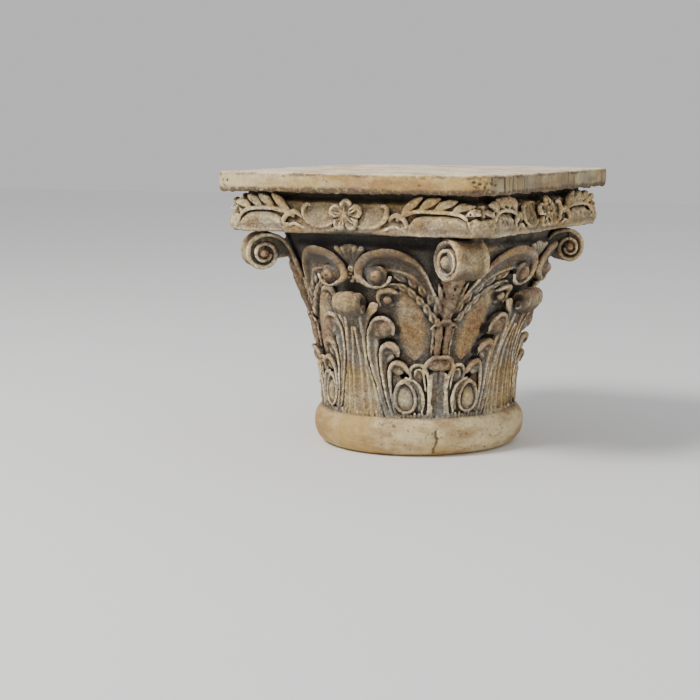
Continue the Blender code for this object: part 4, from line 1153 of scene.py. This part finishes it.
def patina():
    """Ochre and orange-brown cast stone under a grey wash, with painted shade in its recesses and painted
    highlights on its edges.
    """
    material = bpy.data.materials.new("aged_cast_stone")
    n = Nodes(material)
    fine, broad, shade, panel, wash, crest, painted_shade, stalk, top, rusty, cup, east = (n.mark(name) for name in (
        "fine", "broad", "shade", "panel", "wash", "crest", "painted_shade", "stalk", "top", "rust", "cup", "east"))
    clouds = n.noise(16.0, 4.0, 0.6)
    patches = n.noise(55.0, 4.0, 0.6)
    grain = n.noise(420.0, 3.0, 0.6)
    stains = n.noise(34.0, 5.0, 0.65, (1.0, 1.0, 0.55))
    drawn = n.noise(26.0, 4.0, 0.6, (1.0, 1.0, 3.0))
    ochre = (0.52, 0.35, 0.125, 1.0)
    orange = (0.33, 0.165, 0.06, 1.0)
    pale = (0.70, 0.56, 0.305, 1.0)
    grey = (0.15, 0.15, 0.14, 1.0)
    brown = (0.105, 0.07, 0.045, 1.0)
    # Near black, for dark specks and for painted shade.
    speck_and_shade_black = (0.012, 0.01, 0.008, 1.0)
    beige = (0.45, 0.39, 0.30, 1.0)
    umber = (0.04, 0.026, 0.018, 1.0)
    rust_brown = (0.26, 0.125, 0.05, 1.0)
    cream = (0.74, 0.64, 0.49, 1.0)
    # Pale, for powder and painted top light on the slab's top.
    pale_powder_and_top_light = (0.98, 0.82, 0.62, 1.0)
    inside = n.ramp(wash, 0.0, 0.3)
    outside = n.math("SUBTRACT", 1.0, inside)
    # The bare stone, with upright streaks and painted shade on the right-hand side of the slab, and pale
    # powder with painted top light on its top.
    n.colour = n.mix(n.ramp(clouds, 0.42, 0.59), ochre, pale)
    n.coat(orange, n.plus(n.ramp(drawn, 0.46, 0.66, 0.0, 0.65), n.times(crest, 0.45),
                          n.times(panel, n.ramp(patches, 0.36, 0.56, 0.08, 0.5))))
    plain = n.math("SUBTRACT", 1.0, n.times(panel, 0.8))
    n.coat(beige, wash, plain, n.ramp(patches, 0.36, 0.60, 0.62, 0.12))
    # Painted shade greys the right-hand side of the slab.
    n.coat(grey, east, n.ramp(stains, 0.36, 0.60, 0.60, 0.25))
    streaks = n.ramp(n.noise(230.0, 2.0, 0.6, (0.0, 1.0, 0.05)), 0.54, 0.64)
    n.coat(brown, streaks, east, n.ramp(patches, 0.36, 0.60, 0.4, 0.95))
    # Pale powder and painted top light on the slab's top.
    n.coat(pale_powder_and_top_light, top, n.ramp(stains, 0.36, 0.56, 0.35, 0.95))
    # The wash: grey in the hollows, brown in between.
    hollow = n.plus(broad, n.times(fine, 0.5), n.sway(stains, 0.9))
    film = n.times(n.ramp(hollow, -0.52, 0.0), wash, n.math("SUBTRACT", 1.0, n.times(panel, 0.75)))
    film = n.math("MAXIMUM", film, n.times(stalk, n.ramp(stains, 0.30, 0.60, 0.97, 0.6)))
    browner = n.math("MAXIMUM", n.ramp(patches, 0.40, 0.60), n.times(stalk, 0.7))
    n.coat(n.mix(browner, grey, brown), film, 0.86)
    # Cream on the sharp ridges, a painted highlight.
    n.coat(cream, n.ramp(n.plus(n.times(fine, -1.0), n.sway(grain, 0.8)), 0.26, 0.60, 0.0, 0.8))
    n.coat(rust_brown, n.math("MAXIMUM", rusty, n.times(stalk, 0.5)), n.ramp(patches, 0.34, 0.62, 0.9, 0.4))
    # Painted highlight on what stands out, painted shade in the hollows, and mottled.
    raised = n.plus(fine, n.times(broad, 0.5))
    n.coat(n.ramp(raised, -0.70, 0.50, 1.34, 0.66), inside, kind="MULTIPLY")
    strength = n.ramp(wash, 0.0, 0.3, 0.35, 1.0)
    n.coat(n.ramp(grain, 0.30, 0.70, 0.66, 1.22), strength, kind="MULTIPLY")
    n.coat(n.ramp(n.noise(150.0, 3.0, 0.6), 0.32, 0.68, 0.80, 1.16), strength, kind="MULTIPLY")
    flecks = n.noise(720.0, 2.0, 0.5)
    n.coat(speck_and_shade_black, inside, n.ramp(flecks, 0.58, 0.68, 0.0, 0.5))
    n.coat(cream, inside, n.ramp(flecks, 0.42, 0.34, 0.0, 0.2))
    # Painted shade in the recesses, the wide hollows, under the frieze and on undersides; umber in the cups.
    deep = n.plus(n.times(fine, 0.5), n.times(broad, 0.7), n.sway(patches, 0.5))
    n.coat(speck_and_shade_black, inside, n.ramp(deep, 0.16, 0.46, 0.0, 0.95))
    n.coat(speck_and_shade_black, inside, n.ramp(n.plus(shade, n.sway(patches, 0.3)), 0.14, 0.44, 0.0, 0.86))
    n.coat(umber, cup, n.ramp(fine, -0.62, -0.30), n.ramp(patches, 0.34, 0.62, 0.95, 0.7))
    n.coat(speck_and_shade_black, painted_shade, n.ramp(stains, 0.36, 0.60, 1.0, 0.92))
    # Brown pits and spots, the slab's rough brown edges, and painted shade in the bottoms of picks and
    # cracks.
    pits = n.ramp(n.noise(1300.0, 2.0, 0.6), 0.62, 0.70)
    n.coat(brown, pits, 0.6)
    n.coat(brown, n.ramp(n.noise(230.0, 3.0, 0.7), 0.60, 0.68), n.ramp(clouds, 0.42, 0.56, 0.15, 0.75))
    height = n.add("SeparateXYZ", {0: n.place})["Z"]
    level = n.plus(height, n.sway(n.noise(90.0, 3.0, 0.6), 0.005))
    low, high = (n.math("ABSOLUTE", n.math("SUBTRACT", level, edge)) for edge in (0.2141, 0.2268))
    high = n.times(n.ramp(high, 0.0004, 0.0016, 0.8, 0.0), n.ramp(n.noise(40.0, 3.0, 0.6), 0.44, 0.58))
    brim = n.math("MAXIMUM", n.ramp(low, 0.0018, 0.0042, 1.0, 0.0), high)
    n.coat(brown, brim, n.ramp(n.noise(260.0, 3.0, 0.7), 0.34, 0.54, 0.25, 0.92))
    # Painted shade in the hollows of the slab and the ring.
    n.coat(brown, n.ramp(raised, 0.10, 0.42, 0.0, 0.85), outside)
    n.put(n.shader.inputs["Base Color"], n.colour)
    n.put(n.shader.inputs["Roughness"], n.ramp(grain, 0.3, 0.7, 0.72, 0.92))
    normal = n.bump(grain, 0.6, 0.0014)
    n.put(n.shader.inputs["Normal"], n.bump(n.math("SUBTRACT", 1.0, pits), 0.5, 0.0006, Normal=normal))
    return material


def build_stage():
    mesh = bpy.data.meshes.new("floor")
    half = 4.0
    corners = [(-half, -half, 0), (half, -half, 0), (half, half, 0), (-half, half, 0)]
    mesh.from_pydata(corners, [], [(0, 1, 2, 3)])
    floor = bpy.data.objects.new("floor", mesh)
    bpy.context.scene.collection.objects.link(floor)
    material = bpy.data.materials.new("floor")
    material.use_nodes = True
    shader = material.node_tree.nodes["Principled BSDF"]
    shader.inputs["Base Color"].default_value = (0.9, 0.9, 0.9, 1.0)
    shader.inputs["Roughness"].default_value = 0.9
    mesh.materials.append(material)


def build_camera():
    """The photograph's view: a long lens, a little above the slab, turned towards the right-hand corner."""
    azimuth, pitch = math.radians(27.28), 0.113
    distance, height, focal, aside = 1.3953, 0.2682, 1659.6, -0.0056
    picture, middle_x, middle_y = 700.0, 412.0, 310.0
    sin, cos = math.sin(azimuth), math.cos(azimuth)
    forward = Vector((-sin * math.cos(pitch), cos * math.cos(pitch), -math.sin(pitch)))
    right = Vector((cos, sin, 0))
    data = bpy.data.cameras.new("camera")
    data.sensor_width = 36.0
    data.lens = focal * data.sensor_width / picture
    data.shift_x = -(middle_x - picture / 2) / picture
    data.shift_y = (middle_y - picture / 2) / picture
    data.clip_end = 100.0
    camera = bpy.data.objects.new("camera", data)
    matrix = Matrix((right, right.cross(forward), -forward)).transposed().to_4x4()
    matrix.translation = Vector((sin * distance + aside * cos, -cos * distance + aside * sin, height))
    camera.matrix_world = matrix
    bpy.context.scene.collection.objects.link(camera)
    bpy.context.scene.camera = camera


def add_light(name, place, size, power, colour):
    """A round lamp that looks at the middle of the pedestal."""
    data = bpy.data.lights.new(name, "AREA")
    data.shape = "DISK"
    data.size = size
    data.energy = power
    data.color = colour
    light = bpy.data.objects.new(name, data)
    light.location = place
    light.rotation_euler = (Vector((0, 0, 0.12)) - Vector(place)).to_track_quat("-Z", "Y").to_euler()
    bpy.context.scene.collection.objects.link(light)


def build_lights():
    world = bpy.data.worlds.new("world")
    world.use_nodes = True
    background = world.node_tree.nodes["Background"]
    background.inputs["Color"].default_value = (1.0, 1.0, 1.0, 1.0)
    background.inputs["Strength"].default_value = 0.62
    bpy.context.scene.world = world
    add_light("key", (-0.8, -1.3, 1.8), 0.8, 46.0, (1.0, 0.98, 0.95))
    add_light("fill", (1.5, -1.0, 0.7), 1.2, 2.0, (0.96, 0.98, 1.0))


piece, field, xs, zs = build_piece()
mark_surface(piece, field, xs, zs)
piece.data.materials.append(patina())
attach(piece, "root")
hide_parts("pedestal")
build_stage()
build_camera()
build_lights()
